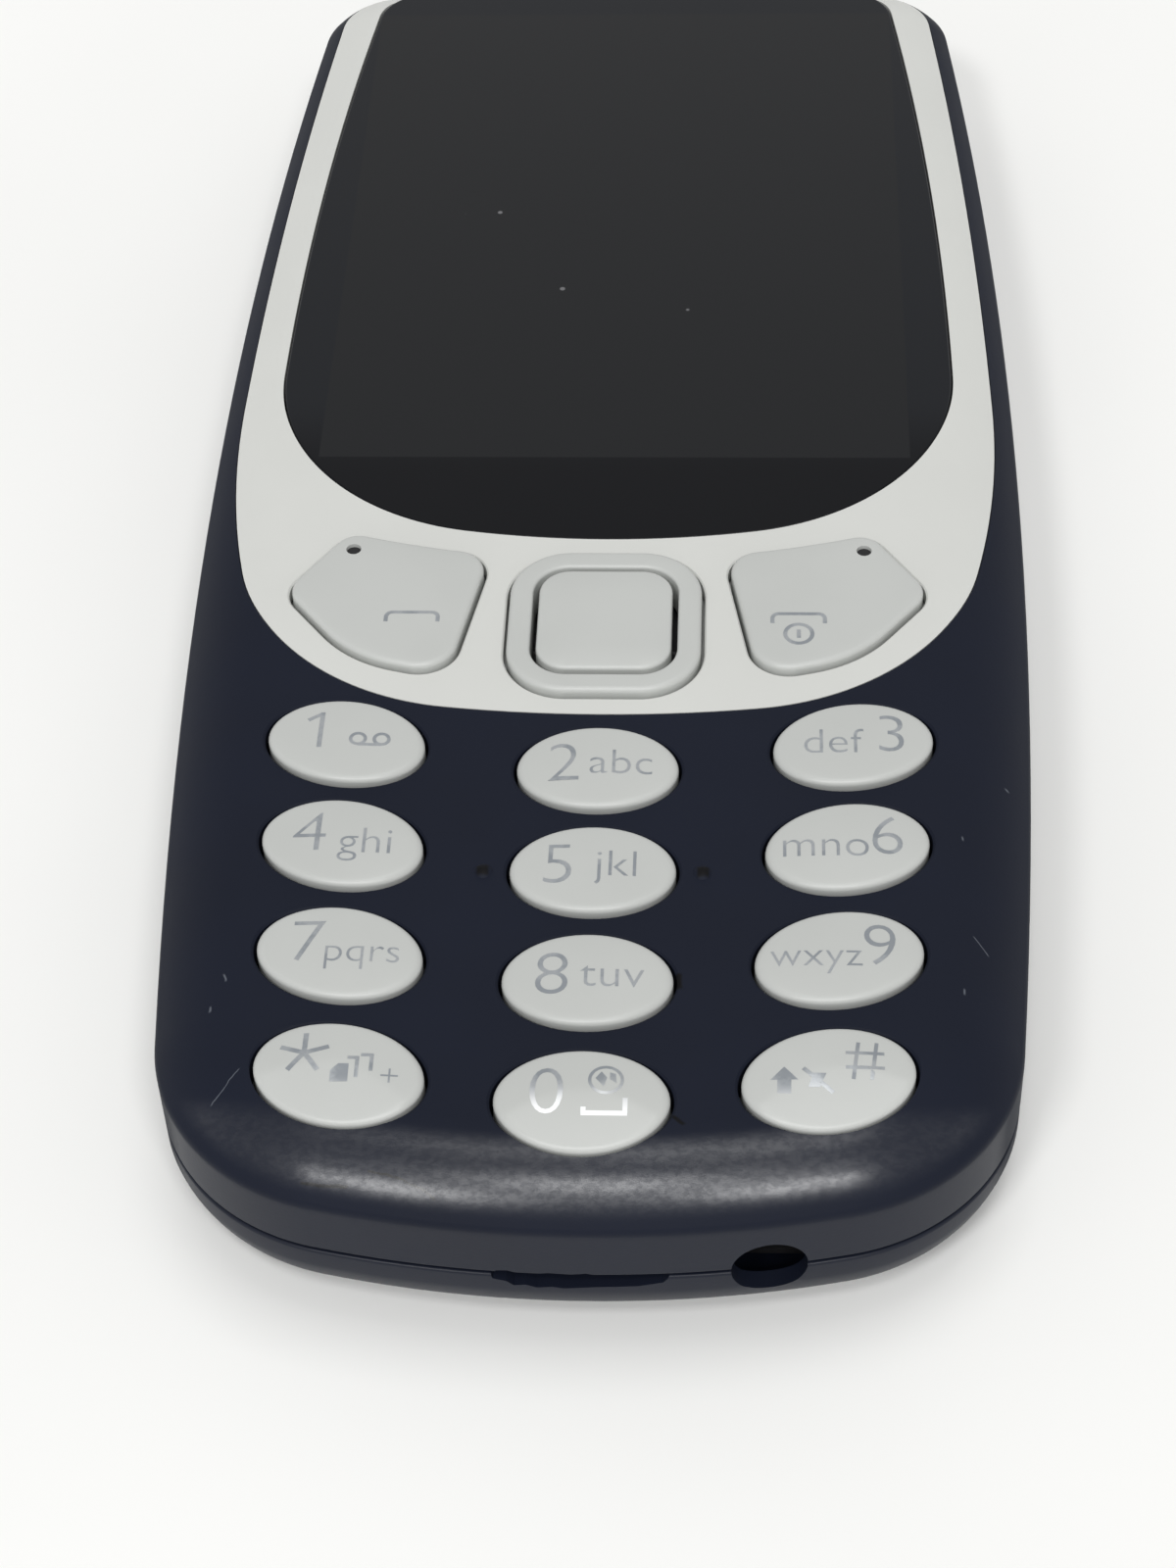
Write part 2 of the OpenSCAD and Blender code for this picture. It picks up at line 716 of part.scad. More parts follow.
// Ball under whose top a number key is crowned
module key_dome() {
    translate([0, 0, key_top_z - key_dome_r]) rotate([90, 0, 0]) sphere(key_dome_r, $fn = 360);
}

// Roller under which a last-row key falls away towards the phone's end
module key_end_roll() {
    translate([0, key_roll_y + key_roll_r * sin(kink), key_top_z - key_roll_r * cos(kink)])
        rotate([0, 90, 0]) cylinder(r = key_roll_r, h = 2 * key_l, center = true, $fn = 360);
}

// One number key: oval cap with a bevelled, domed top, a hidden flange and a foot
module number_key(row, column) {
    bevel_z = key_top_z - key_dome_drop - key_bevel;
    bevel_h = key_top_z - bevel_z;
    lap = 0.05;
    color(KEY_GREY) {
        number_key_flange(row, column);
        at_key(row, column) {
            pin(0, 0, key_foot_r, key_foot_z, key_flange_z + key_flange_t);
            intersection() {
                union() {
                    translate([0, 0, key_flange_z + lap])
                        linear_extrude(bevel_z - key_flange_z - lap) key_oval(0);
                    translate([0, 0, bevel_z - lap]) scale([key_half_l / key_half_w, 1, 1])
                        cylinder(lap + bevel_h, key_half_w - lap / 2, key_half_w - 1.5 * key_bevel);
                }
                if (row == last_row) intersection() {
                    key_dome();
                    key_end_roll();
                }
                else key_dome();
            }
        }
    }
}

// Fulcrum rib of a rocking key, along a direction of the plan
rib_r = 0.3;
module fulcrum(x, y, z, turn, l) {
    translate([x, y, z]) rotate([0, 90, turn]) cylinder(r = rib_r, h = l, center = true);
}

module left_key() {
    h = face_z + side_key_proud - nav_flange_z;
    color(KEY_GREY) difference() {
        union() {
            translate([0, 0, nav_flange_z]) linear_extrude(nav_flange_t) left_key_plan(nav_flange);
            translate([0, 0, nav_flange_z]) linear_extrude(h - nav_edge) left_key_plan(0);
            translate([0, 0, nav_flange_z]) linear_extrude(h - nav_edge / 3) left_key_plan(-nav_edge / 3);
            translate([0, 0, nav_flange_z]) linear_extrude(h) left_key_plan(-nav_edge);
            for (p = [LEFT_SOFT_SWITCH, LEFT_CALL_SWITCH])
                pin(p[0], p[1], plunger_r, nav_flange_z - key_flange_t, nav_flange_z + nav_flange_t);
            fulcrum(LEFT_PIVOT[0], LEFT_PIVOT[1], nav_flange_z, LEFT_PIVOT_TURN, 2 * LEFT_KEY_CORNERS[0][2]);
        }
        pin(LEFT_SOFT_SWITCH[0], LEFT_SOFT_SWITCH[1], dimple_r, face_z, face_z + cut);
    }
}

module right_key() {
    mirror([1, 0, 0]) left_key();
}

module nav_ring() {
    hole_w = ring_w - 2 * ring_wall;
    hole_l = ring_l - 2 * ring_wall;
    color(KEY_GREY) translate([0, nav_y]) difference() {
        union() {
            round_plate(ring_w + 2 * nav_flange, ring_l + 2 * nav_flange, ring_corner_r + nav_flange,
                nav_flange_z, nav_flange_z + nav_flange_t);
            round_plate(ring_w, ring_l, ring_corner_r, nav_flange_z, ring_top_z - nav_edge);
            round_plate(ring_w - nav_edge, ring_l - nav_edge, ring_corner_r - nav_edge / 2,
                nav_flange_z, ring_top_z - nav_edge / 3);
            round_plate(ring_w - 2 * nav_edge, ring_l - 2 * nav_edge, ring_corner_r - nav_edge,
                nav_flange_z, ring_top_z);
            for (s = [-1, 1])
                fulcrum(0, s * (hole_l / 2 + ring_wall), nav_flange_z, 90, 2 * nav_flange);
        }
        round_plate(hole_w, hole_l, ring_corner_r - ring_wall, nav_flange_z - cut, ring_top_z + cut);
    }
}

// Frame on which the ring rocks sideways, and which itself rocks fore and aft
module nav_cradle() {
    color(BLACK) translate([0, nav_y]) difference() {
        union() {
            round_plate(cradle_w, cradle_w, ring_corner_r, cradle_z, cradle_z + cradle_t);
            fulcrum(0, 0, cradle_z + cradle_t / 2, 0, cradle_w + 2 * nav_flange);
        }
        pin(0, 0, cradle_hole_r, cradle_z - cut, cradle_z + cut);
    }
}

module select_key() {
    top_z = face_z + select_proud;
    color(KEY_GREY) translate([0, nav_y]) {
        pin(0, 0, select_stem_r, select_foot_z, nav_flange_z + nav_flange_t);
        intersection() {
            union() {
                round_plate(select_w, select_l, select_corner_r,
                    nav_flange_z + nav_flange_t, top_z - nav_edge);
                round_plate(select_w - nav_edge, select_l - nav_edge, select_corner_r - nav_edge / 2,
                    nav_flange_z + nav_flange_t, top_z);
            }
            translate([0, 0, top_z - select_dome_r]) sphere(select_dome_r, $fn = arc_fn);
        }
    }
}

// Switch places under all keys
nav_switch = 0.36 * ring_w;
SIDE_SWITCHES = [for (s = [-1, 1], p = [LEFT_SOFT_SWITCH, LEFT_CALL_SWITCH]) [-s * p[0], p[1]]];
NAV_SWITCHES = [
    for (d = [[0, 0], [1, 0], [-1, 0], [0, 1], [0, -1]]) [nav_switch * d[0], nav_y + nav_switch * d[1]]
];
KEY_SWITCHES = [for (row = ROWS, column = COLUMNS) [key_x(row, column), key_y(row, column)]];
SWITCHES = concat(SIDE_SWITCHES, NAV_SWITCHES, KEY_SWITCHES);

// Keypad layers below the display's lower end
keypad_top_y = lcd_top_y - lcd_l - tray_t - 2 * fit_gap;
module keypad_plan(inset) {
    intersection() {
        region(BODY, board_inset + inset);
        translate([-half_w, keypad_top_y - inset - body_l]) square([body_w, body_l]);
    }
}

module keypad_mat() {
    skirt_w = 0.8;
    web_z = sheet_top_z + mat_skirt;
    color(RUBBER) difference() {
        union() {
            translate([0, 0, web_z]) linear_extrude(mat_t) keypad_plan(0);
            translate([0, 0, sheet_top_z]) linear_extrude(mat_skirt) difference() {
                keypad_plan(0);
                keypad_plan(skirt_w);
            }
            for (p = SWITCHES) pin(p[0], p[1], plunger_r, sheet_top_z + dome_h + glue_gap, web_z);
        }
        boss_columns(boss_r + fit_gap, board_z, face_z);
    }
}

module dome_sheet() {
    color(STEEL) difference() {
        union() {
            translate([0, 0, board_top_z]) linear_extrude(sheet_t) keypad_plan(0);
            for (p = SWITCHES) pin(p[0], p[1], dome_r, board_top_z, sheet_top_z + dome_h);
        }
        boss_columns(boss_r + fit_gap, board_z, face_z);
    }
}

// Inside pieces of the upper half

module display_gasket() {
    w = lcd_w - 2 * gasket_in;
    l = lcd_l - 2 * gasket_in;
    color(BLACK) translate([0, lcd_mid_y]) difference() {
        round_plate(w, l, gasket_w, lcd_top_z, window_under_z);
        round_plate(w - 2 * gasket_w, l - 2 * gasket_w, gasket_w / 2, lcd_top_z - cut, window_under_z + cut);
    }
}

module lcd_module() {
    color(BLACK) translate([0, lcd_mid_y]) round_plate(lcd_w, lcd_l, gasket_w / 2, lcd_z, lcd_top_z);
}

module lcd_tray() {
    lip_l = 0.8 * lcd_l;
    color(STEEL) translate([0, lcd_mid_y]) {
        difference() {
            round_plate(lcd_w, lcd_l, gasket_w / 2, board_top_z, lcd_z);
            round_plate(0.6 * lcd_w, 0.6 * lcd_l, 3, board_top_z - cut, lcd_z + cut);
        }
        for (s = [-1, 1])
            block(s * (lcd_w / 2 + tray_t / 2 - fit_gap / 2), -lcd_l / 20, tray_t + fit_gap, lip_l,
                board_top_z, lcd_z);
        for (s = [-1, 1])
            block(s * (lcd_w / 2 + fit_gap + tray_t / 2), -lcd_l / 20, tray_t, lip_l,
                board_top_z, lcd_z + lcd_t / 2);
    }
}

ear_w = 12;
ear_l = 3.4;
ear_y = window_top_y - ear_in;
ear_top_z = window_under_z - fit_gap;
module earpiece() {
    color(STEEL) translate([0, ear_y]) difference() {
        round_plate(ear_w, ear_l, 1.2, board_top_z, ear_top_z);
        round_plate(ear_w - 2, ear_l - 1.4, 0.6, ear_top_z - 0.6, ear_top_z + cut);
    }
}

module earpiece_mesh() {
    color(BLACK) translate([0, ear_y])
        round_plate(ear_w - 1.2, ear_l - 1, 0.8, ear_top_z, window_under_z);
}

// Board, chassis and what they carry

speaker_x = -9.5;
speaker_y = -45;
speaker_w = 17;
speaker_l = 10;
speaker_t = 3;
shield_x = -9.5;
shield_y = -33.5;
shield_w = 17;
shield_l = 8;
shield_h = 1.4;
motor_x = 14.5;
motor_y = -34.5;
motor_r = 4.6;
motor_h = 2.7;
mic_w = 3.8;
mic_l = 2.8;
mic_h = 1.1;
mic_x = 1;
mic_y = -half_l + 5;
jack_w = 2 * (jack_r + jack_wall) + 1.6;
jack_h = 2 * (jack_r + jack_wall);
jack_front_y = -half_l + jack_recess;
jack_l = jack_depth + jack_wall;
camera_size = 8;
camera_top_z = plate_z;
flash_size = 2.4;
card_x = 10.5;
card_h = 1.5;

// Notch for the jack and the ports in the board or the plate
module jack_notch(low, high) {
    block(jack_x, -half_l, jack_w + 4 * fit_gap, 2 * (jack_recess + jack_l + 2 * fit_gap), low, high);
}

module main_board() {
    color(BOARD_GREEN) difference() {
        translate([0, 0, board_z]) linear_extrude(board_t) region(BODY, board_inset);
        boss_columns(boss_r + fit_gap, board_z - cut, face_z);
        jack_notch(board_z - cut, board_top_z + cut);
    }
}

module shield_can() {
    wall = 0.2;
    color(STEEL) translate([shield_x, shield_y]) difference() {
        round_plate(shield_w, shield_l, 0.6, board_z - shield_h, board_z);
        round_plate(shield_w - 2 * wall, shield_l - 2 * wall, 0.4, board_z - shield_h + wall, board_z + cut);
    }
}

module microphone() {
    color(STEEL) block(mic_x, mic_y, mic_w, mic_l, board_z - mic_h, board_z);
}

bay_w = battery_w + 2 * battery_gap;
bay_l = battery_l + 2 * battery_gap;
contact_w = 1.2;
contact_pitch = 4;
contact_l = battery_gap + chassis_wall;
CONTACT_X = [-contact_pitch, 0, contact_pitch];

// Pocket wall round a rectangle of the plan, hanging from the plate
module pocket_wall(x, y, w, l, low) {
    margin = 2 * (fit_gap + chassis_wall);
    translate([x, y]) difference() {
        round_plate(w + margin, l + margin, chassis_wall, low, plate_z);
        round_plate(w + 2 * fit_gap, l + 2 * fit_gap, chassis_wall / 2, low - cut, plate_z + cut);
    }
}

module chassis() {
    pocket_z = plate_z - 2;
    color(BLACK) difference() {
        union() {
            translate([0, 0, plate_z]) linear_extrude(plate_t) region(BODY, chassis_inset);
            translate([0, 0, chassis_low_z]) linear_extrude(plate_z - chassis_low_z)
                outline_band(chassis_inset, chassis_inset + chassis_wall);
            difference() {
                round_plate(bay_w + 2 * chassis_wall, bay_l + 2 * chassis_wall,
                    battery_corner_r + chassis_wall, battery_z, plate_z);
                round_plate(bay_w, bay_l, battery_corner_r, battery_z - cut, plate_z + cut);
            }
            pocket_wall(speaker_x, speaker_y, speaker_w, speaker_l, pocket_z);
            pocket_wall(0, camera_y, camera_size, camera_size, pocket_z);
        }
        boss_columns(screw_head_r + fit_gap, 0, plate_z);
        boss_columns(screw_r + glue_gap, 0, face_z);
        jack_notch(0, board_z + cut);
        block(0, half_l, usb_w + 4 * fit_gap, 2 * (usb_d + 4 * chassis_wall), 0, board_z + cut);
        block(shield_x, shield_y, shield_w + 2 * fit_gap, shield_l + 2 * fit_gap,
            plate_z - cut, board_z + cut);
        block(mic_x, mic_y, mic_w + 2 * fit_gap, mic_l + 2 * fit_gap, 0, board_z + cut);
        for (x = CONTACT_X)
            block(x, bay_l / 2 + chassis_wall / 2, contact_w + 2 * fit_gap, 2 * chassis_wall, 0, plate_z);
    }
}

module battery() {
    color("#3a3c40") translate([0, 0, battery_z]) linear_extrude(battery_t)
        round_rect(battery_w, battery_l, battery_corner_r);
}

// Three bent blades from the plate to the battery's end
module battery_contacts() {
    blade_t = 0.3;
    foot_z = plate_z - battery_t / 2;
    color(GOLD) for (x = CONTACT_X) {
        block(x, battery_l / 2 + contact_l / 2 + battery_gap / 2, contact_w, contact_l,
            plate_z - blade_t, plate_z);
        block(x, battery_l / 2 + battery_gap / 2 + blade_t / 2, contact_w, blade_t, foot_z, plate_z);
    }
}

// Card holder: a folded steel frame with an open end, between the battery bay and the camera's pocket
card_low_y = bay_l / 2 + chassis_wall + 2 * fit_gap;
card_high_y = camera_y - camera_size / 2 - chassis_wall - 3 * fit_gap;
module card_frame(x, w) {
    wall = 0.3;
    l = card_high_y - card_low_y;
    card_y = (card_high_y + card_low_y) / 2;
    color(STEEL) translate([x, card_y]) difference() {
        round_plate(w, l, 0.5, plate_z - card_h, plate_z);
        block(0, -l / 2, w - 2 * wall, 2 * (l - wall), plate_z - card_h + wall, plate_z - wall);
        round_plate(0.5 * w, 0.5 * l, 1, plate_z - card_h - cut, plate_z - card_h / 2);
    }
}

module sim_holder() {
    card_frame(-card_x, 16);
}

module card_holder() {
    card_frame(card_x, 13);
}

lens_r = 2.4;
camera_window_t = 0.6;
camera_window_z = 0.35;
module camera_module() {
    barrel_z = camera_window_z + camera_window_t;
    color(BLACK) {
        block(0, camera_y, camera_size, camera_size, rear_wall + camera_window_t, camera_top_z);
        difference() {
            pin(0, camera_y, camera_window_r - camera_gap, barrel_z, rear_wall + camera_window_t);
            pin(0, camera_y, lens_r / 2, barrel_z - cut, barrel_z + camera_window_t / 2);
        }
    }
}

module camera_window() {
    color(BLACK) pin(0, camera_y, camera_window_r, camera_window_z, camera_window_z + camera_window_t);
}

module flash_lamp() {
    color(PALE) {
        block(-flash_offset, camera_y, flash_size, flash_size, rear_wall + camera_window_t, camera_top_z);
        pin(-flash_offset, camera_y, flash_r, camera_window_z, rear_wall + camera_window_t);
    }
}

module loudspeaker() {
    color(STEEL) translate([speaker_x, speaker_y]) difference() {
        round_plate(speaker_w, speaker_l, 1.5, plate_z - speaker_t, plate_z);
        round_plate(speaker_w - 3, speaker_l - 3, 1, plate_z - speaker_t - cut, plate_z - speaker_t + 0.5);
    }
}

module vibration_motor() {
    color(STEEL) pin(motor_x, motor_y, motor_r, plate_z - motor_h, plate_z);
}

module headset_jack() {
    color(BLACK) translate([jack_x, jack_front_y, jack_z]) difference() {
        translate([-jack_w / 2, 0, -jack_h / 2]) cube([jack_w, jack_l, jack_h]);
        rotate([-90, 0, 0]) translate([0, 0, -cut]) cylinder(r = jack_r, h = jack_depth + cut);
    }
}

usb_front_y = half_l - 1.2;
module usb_port() {
    tongue_t = 0.7;
    color(STEEL) translate([0, usb_front_y, usb_z]) rotate([90, 0, 0]) {
        difference() {
            linear_extrude(usb_d) round_rect(usb_w, usb_h, 0.8);
            translate([0, 0, -cut]) linear_extrude(usb_d - usb_wall + cut)
                round_rect(usb_w - 2 * usb_wall, usb_h - 2 * usb_wall, 0.5);
        }
        translate([-usb_w / 4, -tongue_t / 2, usb_wall]) cube([usb_w / 2, tongue_t, usb_d - usb_wall]);
    }
}

// Antenna strip along the inside of the chassis's wall in the upper left corner
module antenna() {
    strip_t = 1;
    wall_inset = chassis_inset + chassis_wall + fit_gap;
    color(GOLD) translate([0, 0, chassis_low_z + strip_t]) linear_extrude(plate_z - chassis_low_z - strip_t)
        intersection() {
            outline_band(wall_inset, wall_inset + strip_t);
            translate([-half_w, half_l - 20]) square([half_w - usb_w, 20]);
        }
}

module screws() {
    color(STEEL) {
        boss_columns(screw_head_r, plate_z - screw_head_h, plate_z);
        boss_columns(screw_r, plate_z, plate_z + screw_l);
    }
}

front_cover();
fascia();
display_window();
display_gasket();
lcd_module();
lcd_tray();
earpiece();
earpiece_mesh();
number_key(0, -1);  // key_1
number_key(0, 0);  // key_2
number_key(0, 1);  // key_3
number_key(1, -1);  // key_4
number_key(1, 0);  // key_5
number_key(1, 1);  // key_6
number_key(2, -1);  // key_7
number_key(2, 0);  // key_8
number_key(2, 1);  // key_9
number_key(3, -1);  // key_star
number_key(3, 0);  // key_0
number_key(3, 1);  // key_hash
left_key();
right_key();
nav_ring();
nav_cradle();
select_key();
keypad_mat();
dome_sheet();
main_board();
shield_can();
chassis();
battery();
battery_contacts();
sim_holder();
card_holder();
camera_module();
camera_window();
flash_lamp();
loudspeaker();
vibration_motor();
microphone();
headset_jack();
usb_port();
antenna();
screws();
rear_cover();
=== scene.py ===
"""Candybar feature phone: new skins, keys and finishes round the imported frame, on a pale table."""

import logging
import math
from dataclasses import dataclass, field
from enum import Enum
from typing import Callable, Sequence, Union

import bmesh
import bpy
from mathutils import Matrix, Vector


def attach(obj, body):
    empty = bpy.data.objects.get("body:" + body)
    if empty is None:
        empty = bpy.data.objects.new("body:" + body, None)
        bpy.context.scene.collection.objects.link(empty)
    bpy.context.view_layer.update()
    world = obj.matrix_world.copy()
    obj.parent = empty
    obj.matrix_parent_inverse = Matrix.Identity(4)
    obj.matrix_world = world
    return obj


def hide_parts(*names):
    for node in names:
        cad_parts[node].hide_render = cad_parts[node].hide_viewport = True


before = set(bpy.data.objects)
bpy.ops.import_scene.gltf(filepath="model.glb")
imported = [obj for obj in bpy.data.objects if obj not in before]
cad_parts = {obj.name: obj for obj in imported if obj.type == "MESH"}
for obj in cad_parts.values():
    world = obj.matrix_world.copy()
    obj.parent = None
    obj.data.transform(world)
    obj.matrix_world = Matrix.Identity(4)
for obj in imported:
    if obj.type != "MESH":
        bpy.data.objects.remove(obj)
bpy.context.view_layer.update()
log = logging.getLogger("phone")

MM = 0.001
# Largest distance between an arc and the facets that stand for it, in millimetres
FACET_SAG = 0.003
# Edges that turn by more than this are shaded sharp
SHARP_ANGLE = math.radians(28)
# Points nearer than this are one, in millimetres: in a solid, in a drawing, and along a sweep's seam
WELD = 2e-4
FINE_WELD = 1e-4
SEAM_WELD = 0.01
# Level above every piece, where cutters end, in millimetres
ABOVE = 14.0
# Place of the bottom end among the circles of a bowed outline
BOTTOM_END = 6
# Corner radius of a slot, as a share of its width
SLOT_ROUND = 0.45
# A key's hole widens by this much, from this far under the face to this far over it, in millimetres
FLARE = 0.12
FLARE_DROP = 0.1
FLARE_RISE = 0.02
# Thickness of a printed film and how far it stands proud, in millimetres
FILM = 0.02
PROUD = 0.012
# Height of a digit in the built-in typeface, as a share of its size
DIGIT_SHARE = 0.72

Point = tuple[float, float]
Colour = tuple[float, float, float, float]


def srgb(red: int, green: int, blue: int) -> Colour:
    """Gives the linear colour of a display colour.

    Args:
        red, green, blue: display values from 0 to 255.

    Returns:
        The linear colour with an alpha of 1.
    """
    def linear(value: int) -> float:
        """Undoes the display curve of one channel."""
        share = value / 255
        return share / 12.92 if share <= 0.04045 else ((share + 0.055) / 1.055) ** 2.4
    return linear(red), linear(green), linear(blue), 1.0


def shade(colour: Colour, factor: float, lift: float = 0.0) -> Colour:
    """Gives a lighter or darker tone of a colour.

    Args:
        colour: the colour.
        factor: what its channels are multiplied by.
        lift: what is added to them.

    Returns:
        The tone, no brighter than white.
    """
    red, green, blue = (min(1.0, factor * channel + lift) for channel in colour[:3])
    return red, green, blue, 1.0


def arc(centre: Point, r: Point, start: float, end: float, steps: int) -> list[Point]:
    """Gives the points of an elliptic arc in a profile.

    Args:
        centre: middle of the arc.
        r: its two half axes.
        start, end: angles of its ends, in degrees.
        steps: number of chords.

    Returns:
        The points from start to end.
    """
    turns = [math.radians(start + (end - start) * i / steps) for i in range(steps + 1)]
    return [(centre[0] + r[0] * math.cos(a), centre[1] + r[1] * math.sin(a)) for a in turns]


def flared(side: float, widen: float, low: float, face_z: float) -> list[Point]:
    """Draws the wall of a key's hole, slightly flared at the face.

    Args:
        side: place of the wall.
        widen: how far it goes out at the face.
        low: level where it begins.
        face_z: level of the face.

    Returns:
        The profile, upwards.
    """
    wide = side + widen
    return [(side, low), (side, face_z - FLARE_DROP), (wide, face_z + FLARE_RISE), (wide, ABOVE)]


class Cut(Enum):
    """Ways in which one solid works on another."""

    AWAY = "DIFFERENCE"
    KEEP = "INTERSECT"
    JOIN = "UNION"


@dataclass(frozen=True)
class Circle:
    """One rounding circle of an outline; a negative radius bows inwards."""

    x: float
    y: float
    r: float

    def at(self, angle: float) -> Vector:
        """Point of the circle whose outward normal has an angle."""
        return Vector((self.x + self.r * math.cos(angle), self.y + self.r * math.sin(angle), 0))


@dataclass(frozen=True)
class Outline:
    """A closed belt that runs counter-clockwise round circles."""

    circles: tuple[Circle, ...]

    def normals(self) -> list[float]:
        """Finds where the belt leaves its circles.

        Returns:
            The angle of the belt's outward normal at each circle's end.
        """
        angles = []
        for i, p in enumerate(self.circles):
            q = self.circles[(i + 1) % len(self.circles)]
            dx, dy = q.x - p.x, q.y - p.y
            reach = max(-1.0, min(1.0, (p.r - q.r) / math.hypot(dx, dy)))
            angles.append(math.atan2(dy, dx) - math.acos(reach))
        return angles

    def mirrored(self) -> "Outline":
        """The same outline on the other side of the phone."""
        return Outline(tuple(Circle(-c.x, c.y, c.r) for c in reversed(self.circles)))


def bowed(half_w: float, side_r: float, mid_y: float, top: tuple[float, float, float],
          low: tuple[float, float, float]) -> Outline:
    """Outline of two bowed sides, two bowed ends and four rounded corners.

    Args:
        half_w: half width at the widest point.
        side_r: radius of the sides.
        mid_y: height along the phone of the widest point.
        top, low: height of an end, its radius and the radius of its corners.

    Returns:
        The outline.
    """
    top_x, top_y = corner(half_w, side_r, top[0] - mid_y, top[1], top[2])
    low_x, low_y = corner(half_w, side_r, mid_y - low[0], low[1], low[2])
    return Outline((
        Circle(half_w - side_r, mid_y, side_r),
        Circle(top_x, mid_y + top_y, top[2]),
        Circle(0, top[0] - top[1], top[1]),
        Circle(-top_x, mid_y + top_y, top[2]),
        Circle(side_r - half_w, mid_y, side_r),
        Circle(-low_x, mid_y - low_y, low[2]),
        Circle(0, low[0] + low[1], low[1]),
        Circle(low_x, mid_y - low_y, low[2]),
    ))


def corner(half_w: float, side_r: float, end: float, end_r: float, r: float) -> Point:
    """Centre of the corner that blends a bowed side into a bowed end.

    Args:
        half_w, side_r: half width and radius of the side.
        end, end_r: distance of the end from the side's middle, and its radius.
        r: radius of the corner.

    Returns:
        The centre, counted from the side's middle.
    """
    side, cap = Vector((half_w - side_r, 0)), Vector((0, end - end_r))
    near, far = side_r - r, end_r - r
    along = (cap - side).normalized()
    d = (cap - side).length
    e = (near * near - far * far + d * d) / (2 * d)
    place = side + along * e + Vector((-along.y, along.x)) * math.sqrt(near * near - e * e)
    return place.x, place.y


def round_rect(w: float, l: float, r: float, y: float = 0.0) -> Outline:
    """Rounded rectangle about a point of the phone's middle line.

    Args:
        w, l, r: width, length and corner radius.
        y: height along the phone of its middle.

    Returns:
        The outline.
    """
    x, h = w / 2 - r, l / 2 - r
    return Outline((Circle(x, y + h, r), Circle(-x, y + h, r), Circle(-x, y - h, r), Circle(x, y - h, r)))


